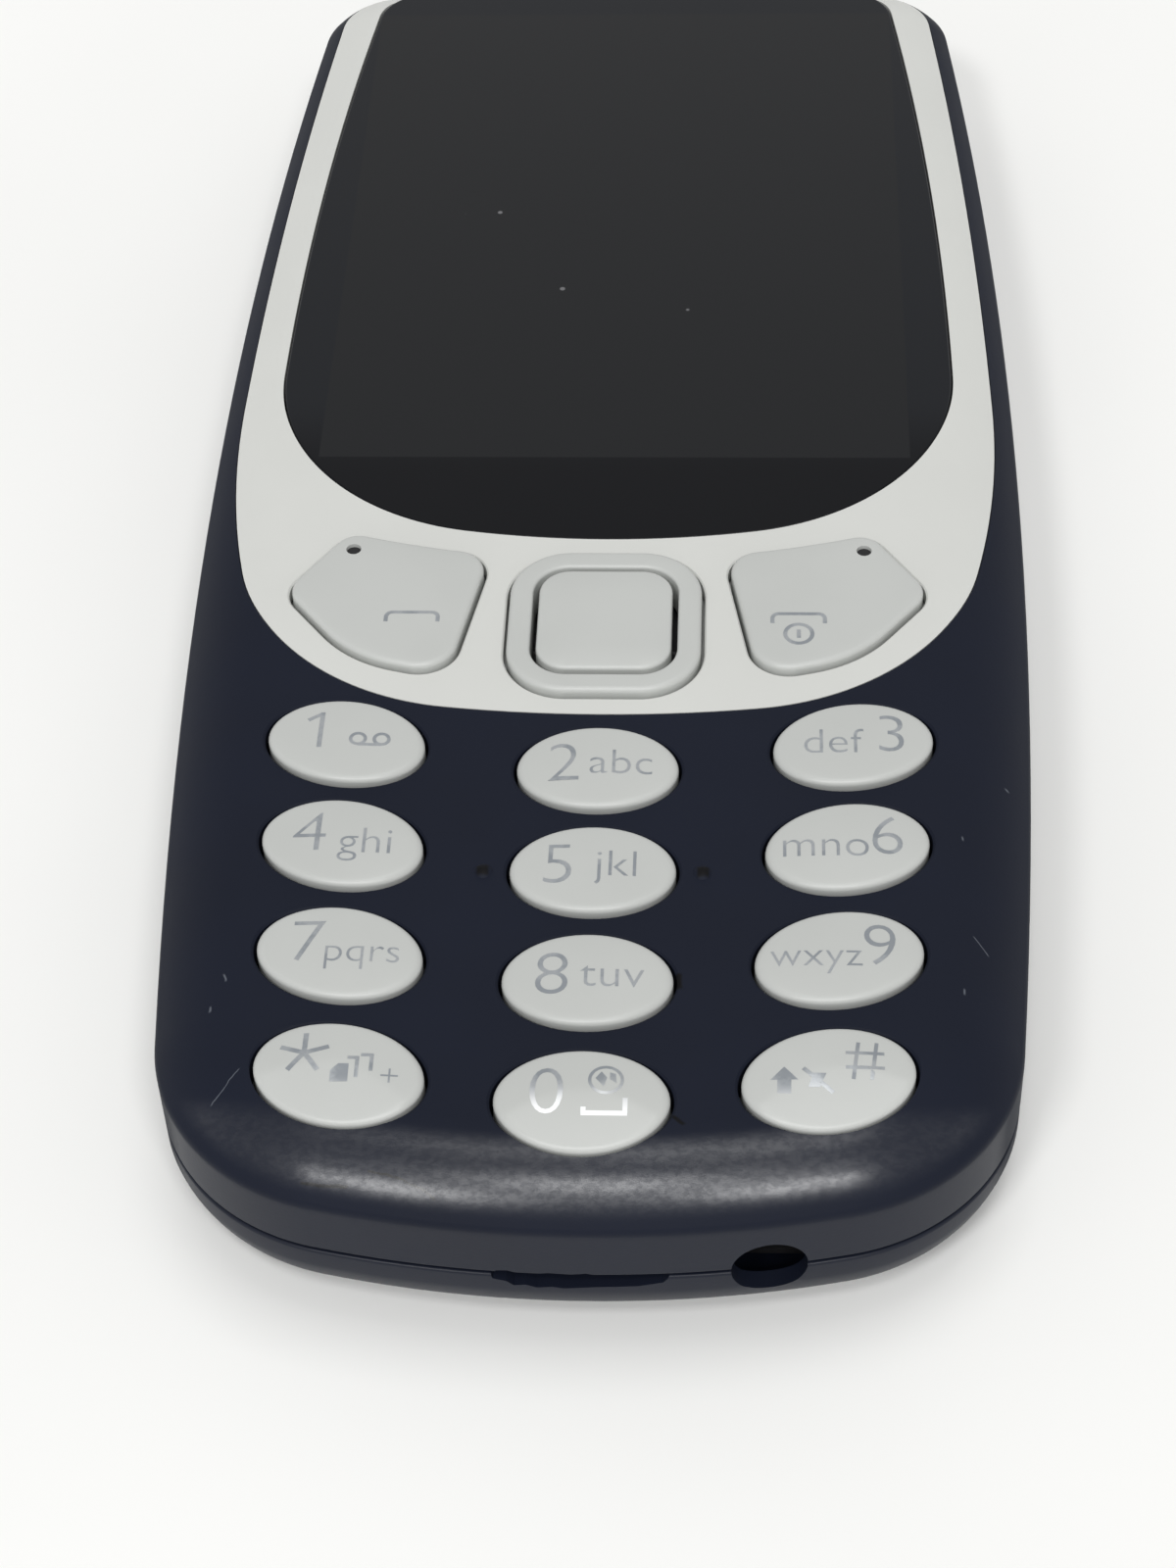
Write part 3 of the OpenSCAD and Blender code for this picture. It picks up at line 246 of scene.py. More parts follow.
class Form:
    """A mesh in the making, in millimetres."""

    def __init__(self) -> None:
        """Starts with nothing."""
        self.bm = bmesh.new()

    def sweep(self, outline: Outline, profile: Sequence[Point], ring: bool = False) -> "Form":
        """Carries a profile round an outline.

        Args:
            outline: the path.
            profile: points as distance in from the path and height.
            ring: True joins the profile's ends; otherwise both open ends get a flat cap.

        Returns:
            This form.
        """
        normals = outline.normals()
        out = Vector((math.cos(normals[-1]), math.sin(normals[-1]), 0))
        start = outline.circles[0].at(normals[-1])
        verts = [self.bm.verts.new(start - out * d + Vector((0, 0, z))) for d, z in profile]
        pairs = list(zip(verts, verts[1:])) + ([(verts[-1], verts[0])] if ring else [])
        last: list = verts + [self.bm.edges.new(pair) for pair in pairs]
        for i, c in enumerate(outline.circles):
            turn = math.remainder(normals[i] - normals[i - 1], math.tau)
            step = 2 * math.sqrt(2 * FACET_SAG / abs(c.r))
            last = self._spin(last, (c.x, c.y, 0), turn, max(2, math.ceil(abs(turn) / step)))
            ahead = outline.circles[(i + 1) % len(outline.circles)].at(normals[i]) - c.at(normals[i])
            if ahead.length > FINE_WELD:
                last = self._spin(last, (0, 0, 0), 0, 1, ahead)
        seam = verts + [v for v in last if isinstance(v, bmesh.types.BMVert)]
        bmesh.ops.remove_doubles(self.bm, verts=seam, dist=SEAM_WELD)
        return self.close()

    def _spin(self, geom: list, centre: tuple, turn: float, steps: int, shift: Vector = Vector()) -> list:
        """One run of a sweep: a turn about an upright axis, or a straight shift.

        Args:
            geom: what is carried along.
            centre, turn, steps: axis, angle and number of steps of the turn.
            shift: straight run of a step.

        Returns:
            The geometry at the run's end.
        """
        made = bmesh.ops.spin(self.bm, geom=geom, cent=centre, axis=(0, 0, 1), dvec=shift, angle=turn,
                              steps=steps, use_merge=False, use_duplicate=False)
        return made["geom_last"]

    def revolve(self, profile: Sequence[Point], steps: int = 72) -> "Form":
        """Turns a profile of radius and height about the upright axis.

        Args:
            profile: points from the axis or from a rim upwards.
            steps: number of facets round the axis.

        Returns:
            This form.
        """
        verts = [self.bm.verts.new((r, 0, z)) for r, z in profile]
        edges = [self.bm.edges.new(pair) for pair in zip(verts, verts[1:])]
        bmesh.ops.spin(self.bm, geom=verts + edges, cent=(0, 0, 0), axis=(0, 0, 1), dvec=(0, 0, 0),
                       angle=math.tau, steps=steps, use_merge=True, use_duplicate=False)
        return self.close()

    def close(self) -> "Form":
        """Merges what meets, caps open ends and turns the faces outwards.

        Returns:
            This form.
        """
        bmesh.ops.remove_doubles(self.bm, verts=self.bm.verts, dist=WELD)
        rims = [e for e in self.bm.edges if len(e.link_faces) == 1]
        if rims:
            bmesh.ops.holes_fill(self.bm, edges=rims, sides=0)
        bmesh.ops.recalc_face_normals(self.bm, faces=self.bm.faces)
        return self

    def place(self, matrix: Matrix) -> "Form":
        """Moves the form by a matrix."""
        bmesh.ops.transform(self.bm, matrix=matrix, verts=self.bm.verts)
        return self

    def bend(self, height: Callable[[float, float], float], low: float) -> "Form":
        """Lifts every point above a level by a height over the plan.

        Args:
            height: the lift at a point of the plan.
            low: points below this level stay.

        Returns:
            This form.
        """
        for v in self.bm.verts:
            if v.co.z > low:
                v.co.z += height(v.co.x, v.co.y)
        return self

    def work(self, tool: "Form", how: Cut = Cut.AWAY) -> "Form":
        """Cuts, keeps or joins by another form, which is used up.

        Args:
            tool: the other form.
            how: what the tool does.

        Returns:
            This form.
        """
        block, knife = self._loose("block"), tool._loose("knife")
        cut = block.modifiers.new("cut", "BOOLEAN")
        cut.operation, cut.solver, cut.object = how.value, "EXACT", knife
        done = bpy.data.meshes.new_from_object(block.evaluated_get(bpy.context.evaluated_depsgraph_get()))
        self.bm.clear()
        self.bm.from_mesh(done)
        tool.bm.free()
        for spare in (done, block.data, knife.data):
            bpy.data.meshes.remove(spare)
        bmesh.ops.remove_doubles(self.bm, verts=self.bm.verts, dist=WELD)
        bmesh.ops.dissolve_degenerate(self.bm, edges=self.bm.edges, dist=WELD)
        return self

    def _loose(self, name: str) -> bpy.types.Object:
        """Makes an object of the form as it stands.

        Args:
            name: the object's name.

        Returns:
            The object, linked into the scene.
        """
        mesh = bpy.data.meshes.new(name)
        self.bm.to_mesh(mesh)
        made = bpy.data.objects.new(name, mesh)
        bpy.context.scene.collection.objects.link(made)
        return made

    def finish(self, name: str) -> bpy.types.Object:
        """Makes the finished object, in metres, shaded smooth between its sharp edges.

        Args:
            name: the piece's name.

        Returns:
            The object, at the origin.
        """
        self.place(Matrix.Scale(MM, 4))
        for face in self.bm.faces:
            face.smooth = True
        for edge in self.bm.edges:
            edge.smooth = len(edge.link_faces) == 2 and edge.calc_face_angle(0.0) < SHARP_ANGLE
        made = self._loose(name)
        self.bm.free()
        even = made.modifiers.new("even", "WEIGHTED_NORMAL")
        even.keep_sharp = True
        return made


class Value:
    """A number or colour that varies over a surface, and takes part in sums."""

    def __init__(self, graph: "Graph", socket: bpy.types.NodeSocket | None) -> None:
        """Holds a socket of a graph."""
        self.graph, self.socket = graph, socket

    def _math(self, operation: str, a: "Operand", b: "Operand" = 0.0) -> "Value":
        """Adds one Math node."""
        return self.graph.node("ShaderNodeMath", {"operation": operation}, {0: a, 1: b})

    def __add__(self, other: "Operand") -> "Value":
        """Sum."""
        return self._math("ADD", self, other)

    def __sub__(self, other: "Operand") -> "Value":
        """Difference."""
        return self._math("SUBTRACT", self, other)

    def __rsub__(self, other: "Operand") -> "Value":
        """Difference from a number."""
        return self._math("SUBTRACT", other, self)

    def __mul__(self, other: "Operand") -> "Value":
        """Product."""
        return self._math("MULTIPLY", self, other)

    def __abs__(self) -> "Value":
        """Size without its sign."""
        return self._math("ABSOLUTE", self)

    __radd__ = __add__
    __rmul__ = __mul__

    def ease(self, low: float, high: float) -> "Value":
        """Smooth step between two values.

        Args:
            low: where the step is 0.
            high: where it is 1, which may be the lesser.

        Returns:
            The step.
        """
        step = self.graph.node("ShaderNodeMapRange", {"interpolation_type": "SMOOTHSTEP"}, {
            "Value": self, "From Min": min(low, high), "From Max": max(low, high)})
        return step if low < high else 1 - step

    def blend(self, low: "Operand", high: "Operand") -> "Value":
        """Colour from low at 0 to high at 1."""
        return self.graph.node("ShaderNodeMix", {"data_type": "RGBA"}, {0: self, 6: low, 7: high}, 2)


Operand = Union[Value, float, tuple]


class Graph:
    """The nodes of one material, or of the room."""

    def __init__(self, owner: bpy.types.Material | bpy.types.World, place: str = "Object") -> None:
        """Empties the owner's nodes.

        Args:
            owner: what the nodes belong to.
            place: name of the coordinates that they read.
        """
        owner.use_nodes = True
        self.owner, self.tree = owner, owner.node_tree
        self.tree.nodes.clear()
        self.place = self.node("ShaderNodeTexCoord", output=place)

    def node(self, kind: str, settings: dict | None = None, sockets: dict | None = None,
             output: int | str = 0) -> Value:
        """Adds a node.

        Args:
            kind: the node's type.
            settings: its properties; stops fills a colour ramp.
            sockets: numbers, colours or values by input name or number.
            output: which output is wanted.

        Returns:
            The output; an end node has none.
        """
        made = self.tree.nodes.new(kind)
        for key, setting in (settings or {}).items():
            if key == "stops":
                for i, (spot, colour) in enumerate(setting):
                    stop = made.color_ramp.elements[i] if i < 2 else made.color_ramp.elements.new(spot)
                    stop.position, stop.color = spot, colour
            else:
                setattr(made, key, setting)
        for key, fed in (sockets or {}).items():
            if isinstance(fed, Value):
                self.tree.links.new(fed.socket, made.inputs[key])
            else:
                made.inputs[key].default_value = fed
        return Value(self, made.outputs[output] if made.outputs else None)

    def noise(self, size_mm: float, detail: float = 2.0, stretch: tuple = (1, 1, 1), turn: float = 0.0,
              rough: float = 0.5) -> Value:
        """Noise of a given size of cloud.

        Args:
            size_mm: size of a cloud.
            detail, rough: how fine it breaks up.
            stretch: shrink along each axis.
            turn: turn of the pattern in plan, in degrees.

        Returns:
            The noise, about 0.5.
        """
        spot = self.node("ShaderNodeMapping", {}, {
            "Vector": self.place, "Rotation": (0, 0, math.radians(turn)), "Scale": stretch})
        return self.node("ShaderNodeTexNoise", {}, {
            "Vector": spot, "Scale": 1 / (size_mm * MM), "Detail": detail, "Roughness": rough})

    def axis(self, name: str) -> Value:
        """Object coordinate along X, Y or Z, in millimetres."""
        return self.node("ShaderNodeSeparateXYZ", {}, {0: self.place}, name) * (1 / MM)

    def bump(self, height: Value, depth_mm: float, under: Value | None = None) -> Value:
        """Normal of a height map.

        Args:
            height: the map.
            depth_mm: depth of a unit of height.
            under: another normal below it.

        Returns:
            The normal.
        """
        sockets = {"Height": height, "Distance": depth_mm * MM, "Strength": 1.0}
        return self.node("ShaderNodeBump", {}, {**sockets, **({"Normal": under} if under else {})})

    def surface(self, **sockets: Operand) -> bpy.types.Material:
        """Ends the graph in a principled shader.

        Args:
            sockets: its inputs, with underscores for spaces.

        Returns:
            The material.
        """
        inputs = {name.replace("_", " "): fed for name, fed in sockets.items()}
        shader = self.node("ShaderNodeBsdfPrincipled", {}, inputs)
        self.node("ShaderNodeOutputMaterial", {}, {"Surface": shader})
        return self.owner


@dataclass(frozen=True)
class Stroke:
    """One mark on the shell, of use or of painted shade: a line in plan with a width and a tone, in
    millimetres.
    """

    x0: float
    y0: float
    x1: float
    y1: float
    width: float
    pale: bool = True
    core: float = 0.4
    fade_out: float = 0.08
    fade_in: float = 0.12

    def mask(self, g: "Graph", wobble: Value) -> Value:
        """Share of the mark at a point.

        Args:
            g: the material's graph.
            wobble: noise that bends the line.

        Returns:
            1 on the mark, 0 off it.
        """
        dx, dy = self.x1 - self.x0, self.y1 - self.y0
        length = math.hypot(dx, dy)
        x, y = g.axis("X") - self.x0, g.axis("Y") - self.y0
        along = x * (dx / length) + y * (dy / length)
        across = y * (dx / length) - x * (dy / length) + wobble
        line = abs(across).ease(self.width, self.core * self.width)
        start = along.ease(-self.fade_out, self.fade_in)
        return line * start * along.ease(length + self.fade_out, length - self.fade_in)


@dataclass(frozen=True)
class Moulding:
    """Moulded plastic or rubber: fine grain, slow mottle, marks of use, painted shade and an end rubbed to
    a polish.
    """

    name: str
    colour: Colour
    roughness: float
    grain_mm: float = 0.14
    grain_depth_mm: float = 0.003
    mottle: float = 0.06
    specular: float = 0.5
    strokes: tuple[Stroke, ...] = ()
    rubbed: bool = False
    cloud_mm: float = 9.0
    rough_swing: float = 0.1
    pale_mark: Colour = (0.09, 0.10, 0.12, 1)
    # Tone of the dark marks: nicks and hairlines, and the painted shade on the pips
    dark_wear_and_shade: Colour = (0.002, 0.002, 0.003, 1)
    wobble_mm: float = 0.5
    scuff_depth: float = 1.6
    coat_roughness: float = 0.27
    # The polish fades in along the phone, up the roll and, weaker, down the wall
    end_r: float = 66.0
    end_y: Point = (-53.2, -54.8)
    roll_z: Point = (9.9, 10.9)
    wall_z: Point = (9.7, 8.9)
    wall_share: float = 0.28

    def make(self) -> bpy.types.Material:
        """Mixes mottle, marks, grain and polish.

        Returns:
            The material.
        """
        g = Graph(bpy.data.materials.new(self.name))
        cloud = g.noise(self.cloud_mm, 4)
        colour: Value = cloud.ease(0.3, 0.7).blend(shade(self.colour, 1 - self.mottle),
                                                   shade(self.colour, 1 + self.mottle))
        rough: Value = self.roughness + (cloud - 0.5) * self.rough_swing
        height: Value = g.noise(self.grain_mm, 3, rough=0.6)
        if self.strokes:
            wobble = (g.noise(1.3, 2) - 0.5) * self.wobble_mm
            for stroke in self.strokes:
                mark = stroke.mask(g, wobble)
                colour = mark.blend(colour, self.pale_mark if stroke.pale else self.dark_wear_and_shade)
        polish: Operand = 0.0
        if self.rubbed:
            polish = self.worn_end(g)
            height = height + polish * g.noise(0.35, 4, (0.5, 1, 1), rough=0.7) * self.scuff_depth
        return g.surface(Base_Color=colour, Roughness=rough, Normal=g.bump(height, self.grain_depth_mm),
                         Specular_IOR_Level=self.specular, Coat_Weight=polish,
                         Coat_Roughness=self.coat_roughness)

    def worn_end(self, g: Graph) -> Value:
        """Finds the polish on the rubbed bottom end: a flecked band on its roll, less on its wall.

        Args:
            g: the material's graph.

        Returns:
            The share of the polish.
        """
        up, across = g.axis("Z"), g.axis("X")
        flecks = g.noise(0.32, 3, (0.6, 1, 1), rough=0.7).ease(0.38, 0.62)
        band = up.ease(*self.roll_z) * (0.55 + g.noise(4, 4, (0.5, 1, 1)) * 0.3 + flecks * 0.4)
        end = (g.axis("Y") - across * across * (0.5 / self.end_r)).ease(*self.end_y)
        return end * (band + up.ease(*self.wall_z) * self.wall_share)


@dataclass(frozen=True)
class BlackWindow:
    """Black-backed display window, a little lighter over the picture, with dust on it."""

    name: str
    border: Colour
    low_border: Colour
    picture: Colour
    half_w: float
    low_y: float
    top_y: float
    specular: float
    blur: float = 0.06
    low_fade: float = 1.5
    border_fade: float = 6.0
    dust_mm: float = 4.4
    dust_share: float = 0.35
    dust_tone: Colour = (0.4, 0.4, 0.42, 1)

    def make(self) -> bpy.types.Material:
        """Mixes border, picture, smears and dust.

        Returns:
            The material.
        """
        g = Graph(bpy.data.materials.new(self.name))
        y, blur = g.axis("Y"), self.blur
        inside = abs(g.axis("X")).ease(self.half_w + blur, self.half_w - blur)
        inside = inside * y.ease(self.low_y - blur, self.low_y + blur)
        inside = inside * y.ease(self.top_y + blur, self.top_y - blur)
        smear = g.noise(11, 4, (1, 0.5, 1), 20).ease(0.35, 0.75)
        rise = y.ease(self.low_y - self.low_fade, self.low_y + self.border_fade)
        colour = inside.blend(rise.blend(self.low_border, self.border), self.picture)
        fleck = g.node("ShaderNodeTexVoronoi", {"feature": "F1"},
                       {"Vector": g.place, "Scale": 1 / (self.dust_mm * MM)}, "Distance").ease(0.05, 0.03)
        dust = fleck * g.noise(13, 2).ease(0.56, 0.62)
        colour = (dust * self.dust_share).blend(colour, self.dust_tone)
        rough = 0.07 + smear * 0.06 + dust * 0.4
        return g.surface(Base_Color=colour, Roughness=rough, Normal=g.bump(g.noise(6, 1), 0.0008),
                         Specular_IOR_Level=self.specular)


@dataclass(frozen=True)
class SilverPrint:
    """Legends hot-stamped in silver foil, bright in places and rubbed dull in others, with a painted
    highlight on the last row.
    """

    name: str
    dull: Colour
    bright: Colour
    # Near-white colour of the painted highlight on the last row's legends, and the span along the phone
    # where it fades in
    painted_glint: Colour
    painted_glint_y: Point = (-49.9, -52.4)

    def make(self) -> bpy.types.Material:
        """Mixes bright and rubbed foil, and the painted highlight on the last row.

        Returns:
            The material.
        """
        g = Graph(bpy.data.materials.new(self.name))
        rub = g.noise(1.6, 4).ease(0.42, 0.66)
        # Painted highlight: towards the bottom the legends turn near white and lose their metal
        painted_glint = g.axis("Y").ease(*self.painted_glint_y)
        colour = painted_glint.blend(rub.blend(self.dull, self.bright), self.painted_glint)
        return g.surface(Base_Color=colour, Metallic=(0.2 + rub * 0.4) * (1 - painted_glint),
                         Roughness=0.42 - rub * 0.14, Normal=g.bump(g.noise(0.2, 2), 0.002))


@dataclass(frozen=True)
class Metal:
    """Rolled sheet metal with a brushed grain and dull spots."""

    name: str
    colour: Colour
    roughness: float

    def make(self) -> bpy.types.Material:
        """Mixes clean and dull metal over the brushed grain.

        Returns:
            The material.
        """
        g = Graph(bpy.data.materials.new(self.name))
        brush = g.noise(0.5, 3, (1, 0.06, 1))
        spots = g.noise(4, 4).ease(0.35, 0.7)
        return g.surface(Base_Color=spots.blend(shade(self.colour, 0.75), self.colour), Metallic=1.0,
                         Roughness=self.roughness + brush * 0.18, Normal=g.bump(brush, 0.003))


@dataclass(frozen=True)
class CircuitBoard:
    """Green solder mask with copper tracks showing through it."""

    name: str
    mask: Colour
    track: Colour

    def make(self) -> bpy.types.Material:
        """Lays tracks in lanes under the solder mask.

        Returns:
            The material.
        """
        g = Graph(bpy.data.materials.new(self.name))
        lanes = g.node("ShaderNodeTexBrick", {"offset": 0.37}, {
            "Vector": g.place, "Scale": 1 / (2.4 * MM), "Mortar Size": 0.09, "Mortar Smooth": 0.2,
            "Brick Width": 1.6, "Row Height": 0.45}, "Fac")
        colour = (lanes * g.noise(5, 2).ease(0.4, 0.6)).blend(self.mask, self.track)
        return g.surface(Base_Color=colour, Roughness=0.34 + lanes * 0.1, Normal=g.bump(lanes, 0.02))


@dataclass(frozen=True)
class ClearLens:
    """Dark tinted lens or clear lamp cover with a faint smear."""

    name: str
    colour: Colour
    roughness: float

    def make(self) -> bpy.types.Material:
        """Mixes the tint and a faint smear.

        Returns:
            The material.
        """
        g = Graph(bpy.data.materials.new(self.name))
        smear = g.noise(2.2, 4).ease(0.4, 0.75)
        tone = smear.blend(self.colour, shade(self.colour, 1.35, 0.004))
        return g.surface(Base_Color=tone, Roughness=self.roughness + smear * 0.08,
                         Normal=g.bump(g.noise(0.9, 2), 0.001), Coat_Weight=0.5 + smear * 0.3)


# Hairlines, nicks and a crack where the photo shows them
WEAR_AND_PIP_SHADE = (
    Stroke(-10.9, -55.1, -9.5, -55.4, 0.07, False),
    Stroke(-9.5, -55.4, -7.3, -56.4, 0.07, False),
    Stroke(-14.4, -55.4, -11.9, -55.7, 0.10, False),
    Stroke(4.80, -42.5, 4.95, -43.6, 0.26, False),
    Stroke(4.7, -52.1, 5.3, -52.7, 0.16, False),
    Stroke(-19.7, -42.8, -19.5, -43.3, 0.08),
    Stroke(-20.2, -44.9, -20.2, -45.3, 0.08),
    Stroke(-18.1, -49.2, -19.5, -51.0, 0.04),
    Stroke(23.1, -27.7, 23.3, -27.9, 0.09),
    Stroke(20.4, -32.3, 20.4, -32.6, 0.07),
    Stroke(20.8, -39.4, 21.6, -40.5, 0.04),
    Stroke(20.1, -43.2, 20.1, -43.6, 0.08),
    Stroke(-12.9, -57.0, -12.3, -57.1, 0.12),
    # The last two marks are painted shade: they darken the raised pips beside the 5 key
    Stroke(-6.45, -35.27, -5.75, -35.27, 0.5, False),
    Stroke(5.75, -35.27, 6.45, -35.27, 0.5, False),
)


class Finish(Enum):
    """All finishes of the phone."""

    SHELL = Moulding("navy_shell", srgb(18, 23, 37), 0.62, 0.17, 0.008, 0.06, 0.17, WEAR_AND_PIP_SHADE, True)
    FASCIA = Moulding("pale_fascia", srgb(206, 207, 203), 0.42, 0.16, 0.002, 0.012)
    KEYS = Moulding("grey_keys", srgb(187, 189, 186), 0.4, 0.18, 0.003, 0.02, 0.6)
    WINDOW = BlackWindow("black_window", srgb(24, 26, 30), srgb(10, 11, 15), srgb(28, 29, 31),
                         18.6, -0.2, 49.5, 0.3)
    LEGEND = SilverPrint("silver_print", srgb(139, 144, 149), srgb(190, 194, 197), srgb(246, 247, 247))
    BLACK = Moulding("black_plastic", srgb(26, 26, 28), 0.5)
    FOAM = Moulding("black_foam", srgb(20, 20, 21), 0.9, 0.35, 0.06, 0.2)
    RUBBER = Moulding("mat_rubber", srgb(141, 144, 146), 0.62, 0.2, 0.004, 0.05)
    BATTERY = Moulding("battery_wrap", srgb(58, 60, 64), 0.46, 0.3, 0.003, 0.08)
    STEEL = Metal("steel_sheet", srgb(180, 183, 186), 0.28)
    GOLD = Metal("gold_plate", srgb(205, 168, 88), 0.22)
    BOARD = CircuitBoard("board_green", srgb(34, 84, 52), srgb(70, 122, 66))
    GLASS = ClearLens("display_glass", srgb(30, 32, 36), 0.12)
    LENS = ClearLens("lens_glass", srgb(16, 17, 22), 0.05)
    LAMP = ClearLens("lamp_white", srgb(232, 230, 214), 0.2)


@dataclass
class Assembly:
    """A group of pieces and the materials that they share; its sizes are in millimetres."""

    stock: dict[Finish, bpy.types.Material]

    def issue(self, form: Form, name: str, body: str, node: str | None, slot: str, finish: Finish) -> None:
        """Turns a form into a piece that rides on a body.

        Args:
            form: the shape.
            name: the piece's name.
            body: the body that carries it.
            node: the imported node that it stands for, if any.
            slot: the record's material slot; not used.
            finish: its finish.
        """
        piece = form.finish(name)
        piece.data.materials.clear()
        piece.data.materials.append(self.stock[finish])
        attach(piece, body)
        if node:
            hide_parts(node)
        log.info("piece %s on %s, %d faces", name, body, len(piece.data.polygons))


@dataclass
class Skin:
    """The rolled skin that the covers and the fascia share."""

    body: Outline = field(default_factory=lambda: bowed(
        25.495, 495, 0, (57.79, 58, 5.6), (-57.79, 66, 11.9)))
    face_z: float = 12.1
    crease_z: float = 9.5
    rim_r: float = 6.615
    rim_in: float = 5.277
    roll_steps: int = 14
    crease_r: float = 0.8
    crease_steps: int = 6
    crease_run: float = 0.1

    def roll_z(self) -> float:
        """Level of the rolled border's centre."""
        return self.crease_z - math.sqrt(self.rim_r ** 2 - self.rim_in ** 2)

    def face_roll(self, depth: float) -> list[Point]:
        """Draws the rolled border.

        Args:
            depth: depth under the skin.

        Returns:
            The profile, from the wall up to the flat face.
        """
        r, inset, centre_z = self.rim_r - depth, self.rim_in - depth, self.roll_z()
        start = math.degrees(math.acos(-inset / r))
        return arc((self.rim_in, centre_z), (r, self.face_z - depth - centre_z), start, 90, self.roll_steps)

    def soft_roll(self) -> list[Point]:
        """Draws the rolled border with its crease rounded.

        Returns:
            The profile, from the wall up to the flat face.
        """
        f, over = self.crease_r, self.rim_in - self.crease_r
        up = math.sqrt((self.rim_r - f) ** 2 - over ** 2)
        end = math.degrees(math.atan2(up, -over))
        fillet = arc((f, self.roll_z() + up), (f, f), 180, end, self.crease_steps)
        return fillet + [p for p in self.face_roll(0) if p[0] > fillet[-1][0] + self.crease_run]

    def solid(self, depth: float, low: float) -> Form:
        """Solid under the front skin at a depth, down to a level."""
        return Form().sweep(self.body, [(depth, low)] + self.face_roll(depth))

    def prism(self, outline: Outline, grow: float, low: float, high: float) -> Form:
        """Upright prism of an outline, grown by a margin."""
        return Form().sweep(outline, [(-grow, low), (-grow, high)])


